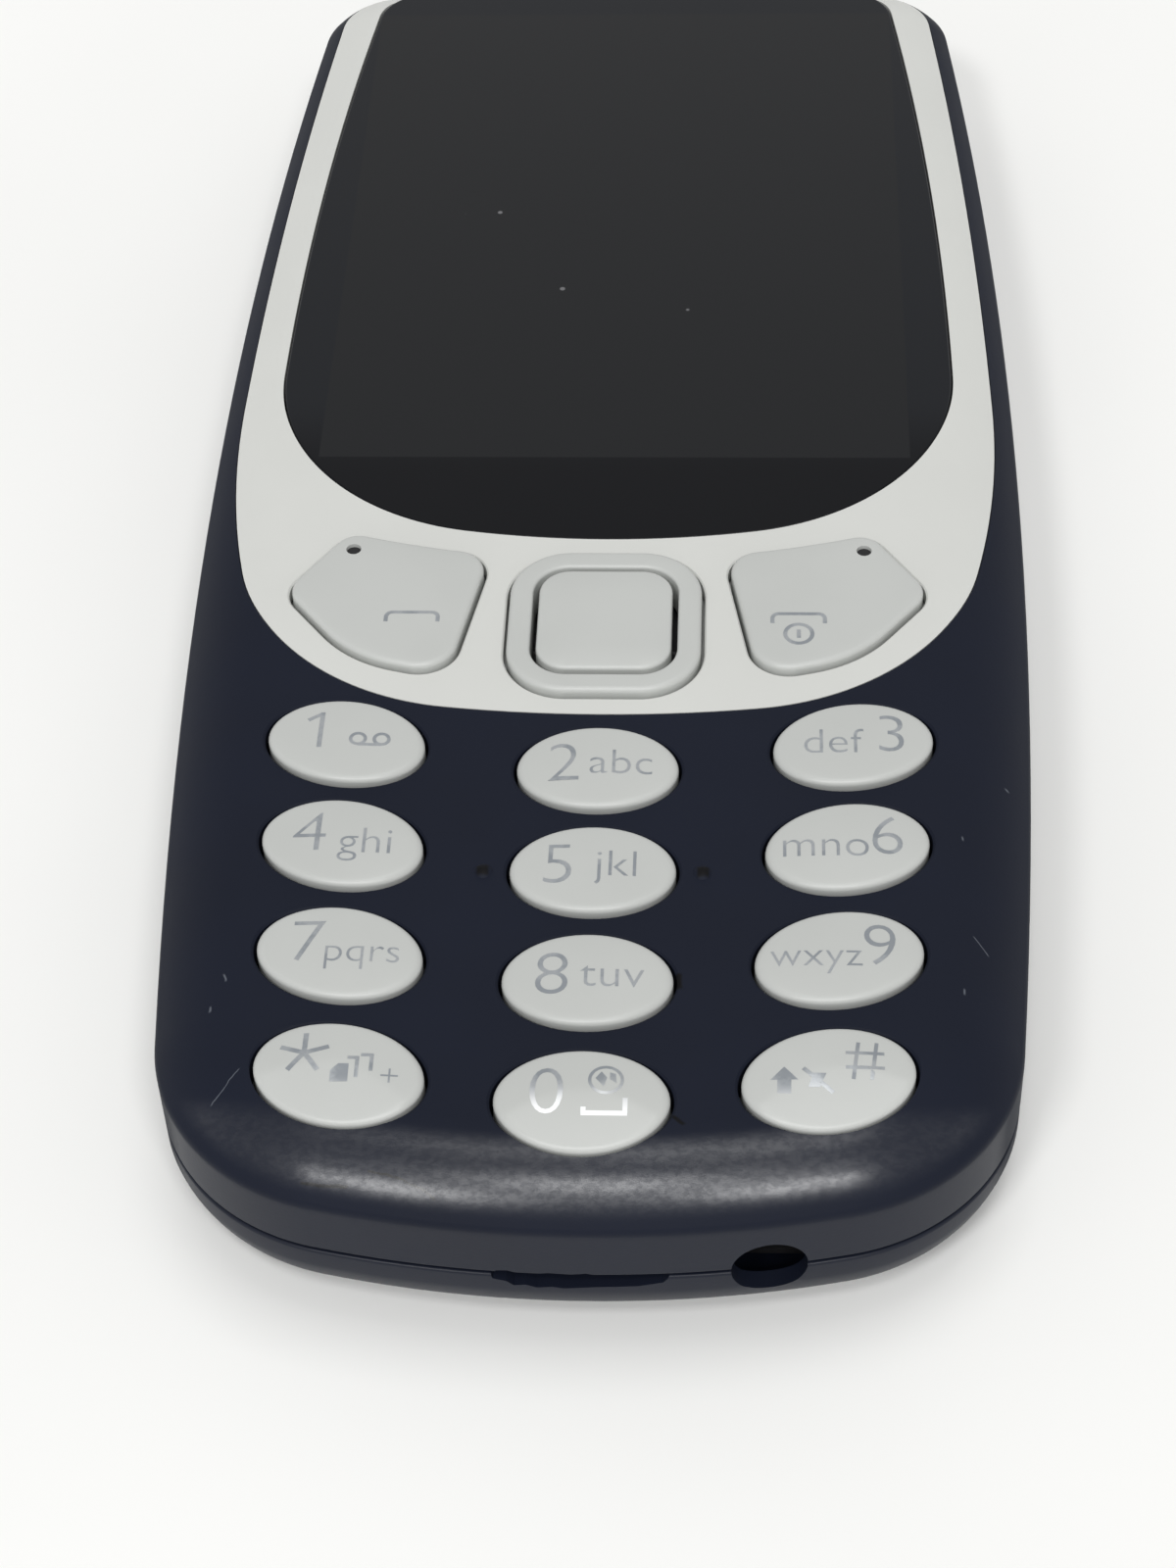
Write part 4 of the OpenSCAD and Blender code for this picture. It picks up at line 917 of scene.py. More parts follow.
@dataclass
class Covers(Assembly):
    """Front cover and rear cover."""

    skin: Skin = field(default_factory=Skin)
    wall: float = 1.5
    low_z: float = 5.85
    parting_z: float = 5.6
    rear_wall: float = 1.0
    rear_roll_in: float = 5.266
    rear_roll_r: float = 5.347
    rear_edge_h: float = 4.4
    lip: float = 0.18
    jack_x: float = 9.8
    jack_z: float = 5.8
    jack_r: float = 2.0
    jack_depth: float = 7.0
    jack_lead: float = 1.2
    jack_flare: Point = (1.2, 4.2)
    jack_sink: float = 1.0
    usb_w: float = 8.4
    usb_h: float = 3.6
    usb_r: float = 1.0
    usb_y: float = 57.8
    usb_reach: float = 6.0
    seat_gap: float = 0.06
    seat_depth: float = 0.96
    seat_low: float = 7.0
    core_low: float = 5.0
    wear_y: float = -60.8
    wear_depth: float = 6.0
    # Edge of the pry notch, worn ragged: across the phone, and up from the parting line
    notch_edge: tuple[Point, ...] = (
        (-4.8, 0.4), (-4.6, -0.3), (-3.9, -0.45), (-3.5, -0.8), (-2.9, -0.68), (-2.3, -0.9), (-1.5, -0.78),
        (-0.9, -0.9), (0.6, -0.75), (3.0, -0.68), (4.3, -0.42), (4.9, 0.4))
    # Nicks in the front cover's lip over the notch, given in the same way
    lip_nicks: tuple[Point, ...] = (
        (-4.7, -0.4), (-4.4, 0.2), (-3.8, 0.26), (-3.3, 0.06), (-2.4, 0.05), (-1.7, 0.2), (-0.5, 0.1),
        (0.3, 0.22), (0.9, 0.04), (1.0, -0.4))
    pip_x: float = 6.06
    pip_y: float = -35.27
    pip_r: float = 0.75
    pip_h: float = 0.22
    camera_y: float = 44.0
    camera_hole_r: float = 3.55
    flash_x: float = -6.6
    flash_hole_r: float = 1.55
    speaker: Point = (-9.5, -45.0)
    slot_pitch: float = 2.2
    slot_w: float = 1.0
    slot_l: float = 6.0
    slot_bevel: float = 0.2
    hole_bevel: Point = (0.35, 0.3)
    # Levels under and over the back's wall, where its cutters begin and end
    back_cut: Point = (-1.0, 3.0)

    def along(self, x: float, y: float, z: float) -> Matrix:
        """Matrix that lays an upright cutter along the phone, at a place."""
        return Matrix.Translation((x, y, z)) @ Matrix.Rotation(math.radians(90), 4, "X")

    def plug_hole(self) -> Form:
        """Makes the cutter for the headset plug, through both covers.

        Returns:
            The cutter.
        """
        r, depth, (flare, mouth) = self.jack_r, self.jack_depth, self.jack_flare
        bore = [(0, -depth), (r, -depth), (r, self.jack_lead), (r + flare, mouth), (0, mouth)]
        return Form().revolve(bore, 64).place(self.along(self.jack_x, self.skin_end(), self.jack_z))

    def skin_end(self) -> float:
        """Height along the phone of the skin at the jack, less a little."""
        low = self.skin.body.circles[BOTTOM_END]
        return low.y - math.sqrt(low.r ** 2 - self.jack_x ** 2) - self.jack_sink

    def usb_hole(self) -> Form:
        """Makes the cutter for the charging plug, through both covers.

        Returns:
            The cutter.
        """
        mouth = round_rect(self.usb_w, self.usb_h, self.usb_r)
        slot = self.skin.prism(mouth, 0, -self.usb_reach, self.usb_reach)
        return slot.place(self.along(0, self.usb_y, self.jack_z))

    def ragged(self, edge: Sequence[Point], level: float) -> Form:
        """Cutter for a worn edge at the bottom end.

        Args:
            edge: its outline, seen from the end.
            level: height of the outline's zero.

        Returns:
            The cutter.
        """
        return Ink().patch(edge).film(self.wear_depth).place(self.along(0, self.wear_y, level))

    def build_front(self, fascia: Outline, ledge: float, keys: "Keypad") -> None:
        """Builds the front cover.

        Args:
            fascia: outline of the fascia's seat.
            ledge: width of the ledge that carries the fascia.
            keys: the keypad, which cuts its own holes.
        """
        skin, lip = self.skin, self.lip
        inner = list(reversed(skin.face_roll(self.wall)))
        foot = [(self.wall, self.low_z), (lip, self.low_z)] + arc(
            (lip, self.low_z + lip), (lip, lip), 270, 180, 4)[1:]
        cover = Form().sweep(skin.body, inner + foot + skin.soft_roll())
        seat = skin.prism(fascia, self.seat_gap, self.seat_low, ABOVE)
        seat.work(skin.solid(self.seat_depth, self.core_low))
        cover.work(seat).work(skin.prism(fascia, -ledge, self.seat_low, ABOVE))
        for spot in keys.spots():
            cover.work(keys.hole(spot))
        cover.work(self.plug_hole()).work(self.usb_hole()).work(self.ragged(self.lip_nicks, self.low_z))
        for side in (-1, 1):
            cap = self.pip_r - self.pip_h
            dome = arc((0, skin.face_z - cap), (self.pip_r, self.pip_r), -30, 90, 12)
            pip = Form().revolve([(0, dome[0][1])] + dome, 32)
            cover.work(pip.place(Matrix.Translation((side * self.pip_x, self.pip_y, 0))), Cut.JOIN)
        self.issue(cover, "front_cover_skin", "handset", "front_cover", "shell_navy", Finish.SHELL)

    def rear_roll(self, depth: float) -> list[Point]:
        """Draws the rear cover's rolled edge.

        Args:
            depth: depth under the skin.

        Returns:
            The profile, from the wall down to the flat back.
        """
        r, inset = self.rear_roll_r - depth, self.rear_roll_in - depth
        start = math.degrees(math.acos(-inset / r))
        centre_z = self.rear_edge_h + math.sqrt(self.rear_roll_r ** 2 - self.rear_roll_in ** 2)
        return arc((self.rear_roll_in, centre_z), (r, centre_z - depth), 360 - start, 270, 18)

    def build_rear(self) -> None:
        """Builds the rear cover with its openings."""
        lip, top = self.lip, self.parting_z
        rim = arc((lip, top - lip), (lip, lip), 90, 180, 4)
        outer = rim + self.rear_roll(0)
        inner = list(reversed(self.rear_roll(self.rear_wall))) + [(self.rear_wall, top)]
        cover = Form().sweep(self.skin.body, inner + outer)
        low, high = self.back_cut
        wide, rise = self.hole_bevel
        for x, r in ((0.0, self.camera_hole_r), (self.flash_x, self.flash_hole_r)):
            bore = [(0, low), (r + wide, low), (r + wide, 0), (r, rise), (r, high), (0, high)]
            cover.work(Form().revolve(bore, 64).place(Matrix.Translation((x, self.camera_y, 0))))
        bevel = self.slot_bevel
        for i in range(-2, 3):
            slot = Form().sweep(round_rect(self.slot_w, self.slot_l, SLOT_ROUND * self.slot_w),
                                [(-bevel, low), (-bevel, 0), (0, bevel), (0, high)])
            x = self.speaker[0] + i * self.slot_pitch
            cover.work(slot.place(Matrix.Translation((x, self.speaker[1], 0))))
        cover.work(self.ragged(self.notch_edge, top))
        cover.work(self.plug_hole()).work(self.usb_hole())
        self.issue(cover, "rear_cover_skin", "rear_cover", "rear_cover", "shell_navy", Finish.SHELL)


@dataclass
class Front(Assembly):
    """Fascia and display window."""

    skin: Skin = field(default_factory=Skin)
    inset: float = 1.4
    thickness: float = 0.9
    ledge: float = 0.8
    flank_y: float = 5.0
    flank_r: float = 70.0
    low_y: float = -23.0
    low_r: float = 76.0
    corner_r: float = 15.4
    window: Outline = field(default_factory=lambda: bowed(
        21.5, 329, 6.7, (54.3, 66, 3.6), (-7.9, 52.5, 15.2)))
    window_gap: float = 0.1
    window_top_z: float = 11.98
    window_t: float = 0.9
    window_edge: float = 0.14
    plate_low: float = 6.5
    cut_low: float = 6.0
    core_low: float = 5.0
    slot_l: float = 9.0
    slot_w: float = 1.0
    slot_y: float = 53.05
    slot_bevel: float = 0.1
    slot_low: float = 8.0

    def plan(self) -> Outline:
        """Draws the fascia: the body's outline, drawn in, down to where the shield's flanks begin.

        Returns:
            The outline.
        """
        upper = [Circle(c.x, c.y, c.r - self.inset) for c in self.skin.body.circles[:5]]
        side = upper[0]
        half_w = side.x + math.sqrt(side.r ** 2 - self.flank_y ** 2)
        x, y = corner(half_w, self.flank_r, self.flank_y - self.low_y, self.low_r, self.corner_r)
        flank_x, corner_y = half_w - self.flank_r, self.flank_y - y
        return Outline((
            *upper,
            Circle(-flank_x, self.flank_y, self.flank_r),
            Circle(-x, corner_y, self.corner_r),
            Circle(0, self.low_y + self.low_r, self.low_r),
            Circle(x, corner_y, self.corner_r),
            Circle(flank_x, self.flank_y, self.flank_r),
        ))

    def build_fascia(self, nav: "Navigation") -> None:
        """Builds the fascia.

        Args:
            nav: the navigation keys, which cut their own holes.
        """
        skin = self.skin
        plate = skin.prism(self.plan(), 0, self.plate_low, ABOVE)
        plate.work(skin.solid(0, self.cut_low), Cut.KEEP).work(skin.solid(self.thickness, self.core_low))
        plate.work(skin.prism(self.window, self.window_gap, self.cut_low, ABOVE))
        for hole in nav.holes():
            plate.work(hole)
        self.issue(plate, "fascia_plate", "handset", "fascia", "fascia_pale", Finish.FASCIA)

    def build_window(self) -> None:
        """Builds the display window with its earpiece slot."""
        top, e, bevel = self.window_top_z, self.window_edge, self.slot_bevel
        edge = arc((e, top - e), (e, e), 180, 90, 4)
        pane = Form().sweep(self.window, [(0, top - self.window_t)] + edge)
        pane.work(Form().sweep(round_rect(self.slot_l, self.slot_w, SLOT_ROUND * self.slot_w, self.slot_y),
                               [(0, self.slot_low), (0, top - bevel), (-bevel, top), (-bevel, ABOVE)]))
        self.issue(pane, "display_pane", "handset", "display_window", "window_black", Finish.WINDOW)


@dataclass(frozen=True)
class Spot:
    """Place of one number key."""

    name: str
    x: float
    y: float
    turn: float
    rolls: bool

    def matrix(self) -> Matrix:
        """Matrix from the key's own frame to the phone's."""
        return Matrix.Translation((self.x, self.y, 0)) @ Matrix.Rotation(math.radians(self.turn), 4, "Z")


class Ink(Form):
    """Flat drawing that becomes a thin printed film."""

    def stroke(self, x: float, y: float, r: float, w: float, start: float, end: float) -> "Ink":
        """Draws an arc with a pen.

        Args:
            x, y, r: its centre and radius.
            w: width of the pen.
            start, end: angles of its ends, in degrees.

        Returns:
            This drawing.
        """
        a, full = math.radians(start), abs(end - start) >= 360
        ways = (r - w / 2, r + w / 2)
        ends = [self.bm.verts.new((x + d * math.cos(a), y + d * math.sin(a), 0)) for d in ways]
        bmesh.ops.spin(self.bm, geom=[*ends, self.bm.edges.new(ends)], cent=(x, y, 0), axis=(0, 0, 1),
                       dvec=(0, 0, 0), angle=math.radians(end - start), steps=36 if full else 20,
                       use_merge=full, use_duplicate=False)
        return self

    def bar(self, x0: float, y0: float, x1: float, y1: float, w: float) -> "Ink":
        """Draws a straight line with a pen.

        Args:
            x0, y0, x1, y1: its ends.
            w: width of the pen.

        Returns:
            This drawing.
        """
        way = Vector((x1 - x0, y1 - y0, 0))
        across = Vector((-way.y, way.x, 0)).normalized() * (w / 2)
        start = Vector((x0, y0, 0))
        ends = [self.bm.verts.new(start - across), self.bm.verts.new(start + across)]
        made = bmesh.ops.extrude_edge_only(self.bm, edges=[self.bm.edges.new(ends)])
        far = [v for v in made["geom"] if isinstance(v, bmesh.types.BMVert)]
        bmesh.ops.translate(self.bm, vec=way, verts=far)
        return self

    def patch(self, points: Sequence[Point]) -> "Ink":
        """Filled polygon."""
        self.bm.faces.new([self.bm.verts.new((x, y, 0)) for x, y in points])
        return self

    def text(self, words: str, x: float, y: float, height: float, thin: float) -> "Ink":
        """Words in the built-in face, centred at a place.

        Args:
            words: the text.
            x, y: its middle, measured on digits.
            height: height of a digit.
            thin: how much the strokes are drawn in.

        Returns:
            This drawing.
        """
        curve = bpy.data.curves.new("words", "FONT")
        curve.body, curve.size, curve.offset = words, height / DIGIT_SHARE, -thin
        curve.align_x, curve.align_y = "CENTER", "BOTTOM_BASELINE"
        curve.resolution_u = 5
        holder = bpy.data.objects.new("words", curve)
        bpy.context.scene.collection.objects.link(holder)
        bpy.context.view_layer.update()
        mesh = bpy.data.meshes.new_from_object(holder.evaluated_get(bpy.context.evaluated_depsgraph_get()))
        bpy.data.objects.remove(holder)
        bpy.data.curves.remove(curve)
        mesh.transform(Matrix.Translation((x, y - height / 2, 0)))
        self.bm.from_mesh(mesh)
        bpy.data.meshes.remove(mesh)
        return self

    def slice(self, pitch: float, reach: float) -> "Ink":
        """Cuts the drawing into small cells, so that it can follow a dome.

        Args:
            pitch: size of a cell.
            reach: half width of the ground that is cut.

        Returns:
            This drawing.
        """
        for i in range(-round(reach / pitch), round(reach / pitch) + 1):
            for normal in (Vector((1, 0, 0)), Vector((0, 1, 0))):
                bmesh.ops.bisect_plane(self.bm, geom=[*self.bm.verts, *self.bm.edges, *self.bm.faces],
                                       dist=1e-5, plane_co=normal * (i * pitch), plane_no=normal)
        return self

    def film(self, thickness: float) -> "Ink":
        """Gives the drawing a thickness, with its top at level 0.

        Args:
            thickness: the thickness.

        Returns:
            This drawing.
        """
        bmesh.ops.remove_doubles(self.bm, verts=self.bm.verts, dist=FINE_WELD)
        self.bm.normal_update()
        for face in self.bm.faces:
            if face.normal.z < 0:
                face.normal_flip()
        made = bmesh.ops.extrude_face_region(self.bm, geom=list(self.bm.faces))
        top = [v for v in made["geom"] if isinstance(v, bmesh.types.BMVert)]
        bmesh.ops.translate(self.bm, vec=(0, 0, thickness), verts=top)
        bmesh.ops.translate(self.bm, vec=(0, 0, -thickness), verts=self.bm.verts)
        bmesh.ops.recalc_face_normals(self.bm, faces=self.bm.faces)
        return self


@dataclass(frozen=True)
class Drawing:
    """Pen lines, arcs and filled patches about a middle, in millimetres.

    A line has two ends and the pen's width. An arc has a centre, a radius, the pen's width and two angles.
    """

    lines: tuple[tuple[float, ...], ...] = ()
    arcs: tuple[tuple[float, ...], ...] = ()
    patches: tuple[tuple[Point, ...], ...] = ()

    def put(self, ink: Ink, x: float, y: float) -> None:
        """Draws it about a point.

        Args:
            ink: what it is drawn in.
            x, y: the point.
        """
        for x0, y0, x1, y1, w in self.lines:
            ink.bar(x + x0, y + y0, x + x1, y + y1, w)
        for x0, y0, *rest in self.arcs:
            ink.stroke(x + x0, y + y0, *rest)
        for patch in self.patches:
            ink.patch([(x + u, y + v) for u, v in patch])


# The bracket that both side keys carry
BRACKET_LINES = ((-1.15, 0.4, 1.15, 0.4, 0.24), (-1.55, 0, -1.55, -0.4, 0.24), (1.55, 0, 1.55, -0.4, 0.24))
BRACKET_ARCS = ((-1.15, 0, 0.4, 0.24, 90, 180), (1.15, 0, 0.4, 0.24, 0, 90))


class Sign(Enum):
    """Signs that are drawn, not written."""

    ONE = Drawing(((0.3, -1.409, 0.3, 1.409, 0.27), (0.3, 1.309, -0.5, 0.789, 0.25)))
    TAPE = Drawing(((-0.68, -0.55, 0.68, -0.55, 0.2),),
                   ((-0.68, -0.1, 0.42, 0.2, 0, 360), (0.68, -0.1, 0.42, 0.2, 0, 360)))
    STAR = Drawing(tuple((0, 0, 1.35 * math.cos(math.radians(a)), 1.35 * math.sin(math.radians(a)), 0.27)
                         for a in range(90, 450, 72)))
    HASH = Drawing(((-0.624, -1.2, -0.336, 1.2, 0.2), (-1.008, -0.48, 1.008, -0.48, 0.2),
                    (0.336, -1.2, 0.624, 1.2, 0.2), (-1.008, 0.48, 1.008, 0.48, 0.2)))
    PAGES = Drawing(((-0.3, 0.75, 0.3, 0.75, 0.2), (0.22, 0.8, 0.22, -0.5, 0.2),
                     (0.4, 0.95, 1.05, 0.95, 0.2), (0.97, 1.0, 0.97, -0.1, 0.2)), (),
                    (((-1.15, -0.75), (-0.2, -0.75), (-0.2, 0.35), (-0.75, 0.35), (-1.15, -0.05)),))
    GLOBE = Drawing((), ((0, 0, 0.85, 0.17, 0, 360),),
                    (((-0.55, 0.1), (-0.1, -0.45), (0.05, 0.15), (-0.25, 0.55)),
                     ((0.2, 0.05), (0.55, -0.2), (0.5, 0.4), (0.2, 0.5))))
    SPACE = Drawing(((-1.2, 0, 1.2, 0, 0.28), (-1.08, 0, -1.08, 0.35, 0.26), (1.08, 0, 1.08, 0.9, 0.26)))
    UP = Drawing((), (), (((-0.72, 0), (0.72, 0), (0, 0.85)),
                          ((-0.36, -0.85), (0.36, -0.85), (0.36, 0.05), (-0.36, 0.05))))
    MUTE = Drawing(((-0.75, 0.7, 0.8, -0.75, 0.24),), (),
                   (((-0.5, -0.45), (0.1, -0.45), (0.45, 0.4), (-0.2, 0.4)),))
    CALL = Drawing(BRACKET_LINES, BRACKET_ARCS)
    END = Drawing((*BRACKET_LINES, (0, -1.65, 0, -0.95, 0.24)),
                  (*BRACKET_ARCS, (0, -1.3, 0.8, 0.24, 0, 360)))


@dataclass(frozen=True)
class Mark:
    """One printed mark: a sign or words, its place on a key, and the height of words."""

    what: Sign | str
    x: float
    y: float
    height: float = 2.0


@dataclass
class Keypad(Assembly):
    """The twelve number keys and their legends."""

    half_l: float = 4.61
    half_w: float = 3.16
    top_z: float = 12.6
    foot_z: float = 9.95
    face_z: float = 12.1
    dome_r: float = 40.0
    edge_r: float = 0.32
    gap: float = 0.2
    hole_low: float = 8.6
    row_y: float = -27.5
    pitch: float = 7.77
    growth: float = 0.134
    column_x: float = 14.54
    draw: float = 0.47
    draw_growth: float = 0.106
    rise: float = 1.99
    rise_loss: float = 0.13
    turn: float = 11.4
    turn_step: float = 0.5
    end_roll_r: float = 22.0
    end_roll_y: float = 0.5
    end_roll_kink: float = math.radians(5)
    digit_thin: float = 0.07
    letter_thin: float = 0.035
    cell: float = 0.55
    names: tuple[str, ...] = ("1", "2", "3", "4", "5", "6", "7", "8", "9", "star", "0", "hash")
    legends: tuple[tuple[Mark, ...], ...] = (
        (Mark(Sign.ONE, -1.9, 0.3), Mark(Sign.TAPE, 1.35, 0.3)),
        (Mark("2", -1.9, 0.3, 3.1), Mark("abc", 1.35, 0.3)),
        (Mark("3", 2.3, 0.3, 3.1), Mark("def", -1.2, 0.3)),
        (Mark("4", -1.9, 0.3, 3.1), Mark("ghi", 1.35, 0.3)),
        (Mark("5", -1.9, 0.3, 3.1), Mark("jkl", 1.35, 0.3)),
        (Mark("6", 2.3, 0.3, 3.1), Mark("mno", -1.2, 0.3)),
        (Mark("7", -1.9, 0.3, 3.1), Mark("pqrs", 1.23, 0.3, 1.75)),
        (Mark("8", -1.9, 0.3, 3.1), Mark("tuv", 1.35, 0.3)),
        (Mark("9", 2.3, 0.3, 3.1), Mark("wxyz", -1.2, 0.3, 1.75)),
        (Mark(Sign.STAR, -2.05, 0.6), Mark(Sign.PAGES, 0.75, 0.15), Mark("+", 2.75, 0.25, 1.5)),
        (Mark("0", -1.83, 0.45, 3.1), Mark(Sign.GLOBE, 1.25, 1.05), Mark(Sign.SPACE, 1.2, -1.0)),
        (Mark(Sign.HASH, 2.05, 0.5), Mark(Sign.UP, -2.35, 0.15), Mark(Sign.MUTE, -0.65, -0.2)),
    )

    def spots(self) -> list[Spot]:
        """Sets out the keys in bowed rows.

        Returns:
            Their places, row by row.
        """
        found = []
        for i, name in enumerate(self.names):
            row, column = i // 3, i % 3 - 1
            far = row * (row - 1) / 2
            x = column * (self.column_x - self.draw * row - self.draw_growth * far)
            y = self.row_y - self.pitch * row - self.growth * far
            y += abs(column) * (self.rise - self.rise_loss * row)
            turn = column * (self.turn + self.turn_step * row)
            found.append(Spot(name, x, y, turn, row == 3))
        return found

    def oval(self, profile: Sequence[Point], grow: float = 0.0) -> Form:
        """Turned profile drawn out to the keys' oval."""
        wide = (self.half_l + grow) / (self.half_w + grow)
        return Form().revolve(profile, 80).place(Matrix.Scale(wide, 4, (1, 0, 0)))

    def hole(self, spot: Spot) -> Form:
        """Cutter for one key."""
        wall = flared(self.half_w + self.gap, FLARE, self.hole_low, self.face_z)
        return self.oval([(0, self.hole_low), *wall, (0, ABOVE)], self.gap).place(spot.matrix())

    def dome(self, spot: Spot) -> Callable[[float, float], float]:
        """Shapes a key's domed top; the last row also rolls off with the end.

        Args:
            spot: the key's place.

        Returns:
            The height over the key's own plan, from 0 at the top.
        """
        r, kink = self.end_roll_r, self.end_roll_kink
        axis_y = self.end_roll_y + r * math.sin(kink)

        def height(x: float, y: float) -> float:
            """Gives the height of the top at a point.

            Args:
                x, y: the point, in the key's own plan.

            Returns:
                The height, 0 at the middle.
            """
            crown = -(x * x + y * y) / (2 * self.dome_r)
            if spot.rolls:
                return min(crown, math.sqrt(r * r - (y - axis_y) ** 2) - r * math.cos(kink))
            return crown
        return height

    def build(self) -> None:
        """Builds every key with its legend."""
        for spot, marks in zip(self.spots(), self.legends):
            self.build_key(spot)
            self.build_legend(spot, marks)

    def build_key(self, spot: Spot) -> None:
        """Builds one key cap.

        Args:
            spot: the key's place.
        """
        r, e, top = self.half_w, self.edge_r, self.top_z
        edge = arc((r - e, top - e), (e, e), 0, 90, 8)
        crown = [(r * (8 - i) / 10, top) for i in range(9)]
        cap = self.oval([(0, self.foot_z), (r, self.foot_z)] + edge + crown)
        cap.bend(self.dome(spot), self.face_z).place(spot.matrix())
        node = f"key_{spot.name}"
        self.issue(cap, f"{node}_cap", node, node, "key_grey", Finish.KEYS)

    def draw_mark(self, ink: Ink, mark: Mark, turn: float) -> None:
        """Draws one mark of a legend upright, at its place on a turned key.

        Args:
            ink: the drawing.
            mark: what to draw.
            turn: the key's turn, in degrees.
        """
        spot = Matrix.Rotation(math.radians(turn), 2) @ Vector((mark.x, mark.y))
        if isinstance(mark.what, Sign):
            mark.what.value.put(ink, spot.x, spot.y)
        else:
            thin = self.digit_thin if mark.what.isdigit() else self.letter_thin
            ink.text(mark.what, spot.x, spot.y, mark.height, thin)

    def build_legend(self, spot: Spot, marks: Sequence[Mark]) -> None:
        """Prints a key's legend on its dome.

        Args:
            spot: the key's place.
            marks: what is printed.
        """
        ink = Ink()
        for mark in marks:
            self.draw_mark(ink, mark, spot.turn)
        ink.slice(self.cell, self.half_l).film(FILM)
        upright = Matrix.Rotation(math.radians(-spot.turn), 4, "Z")
        ink.place(upright).bend(self.dome(spot), -math.inf)
        ink.place(spot.matrix() @ Matrix.Translation((0, 0, self.top_z + PROUD)))
        node = f"key_{spot.name}"
        self.issue(ink, f"{node}_legend", node, None, "key_grey", Finish.LEGEND)


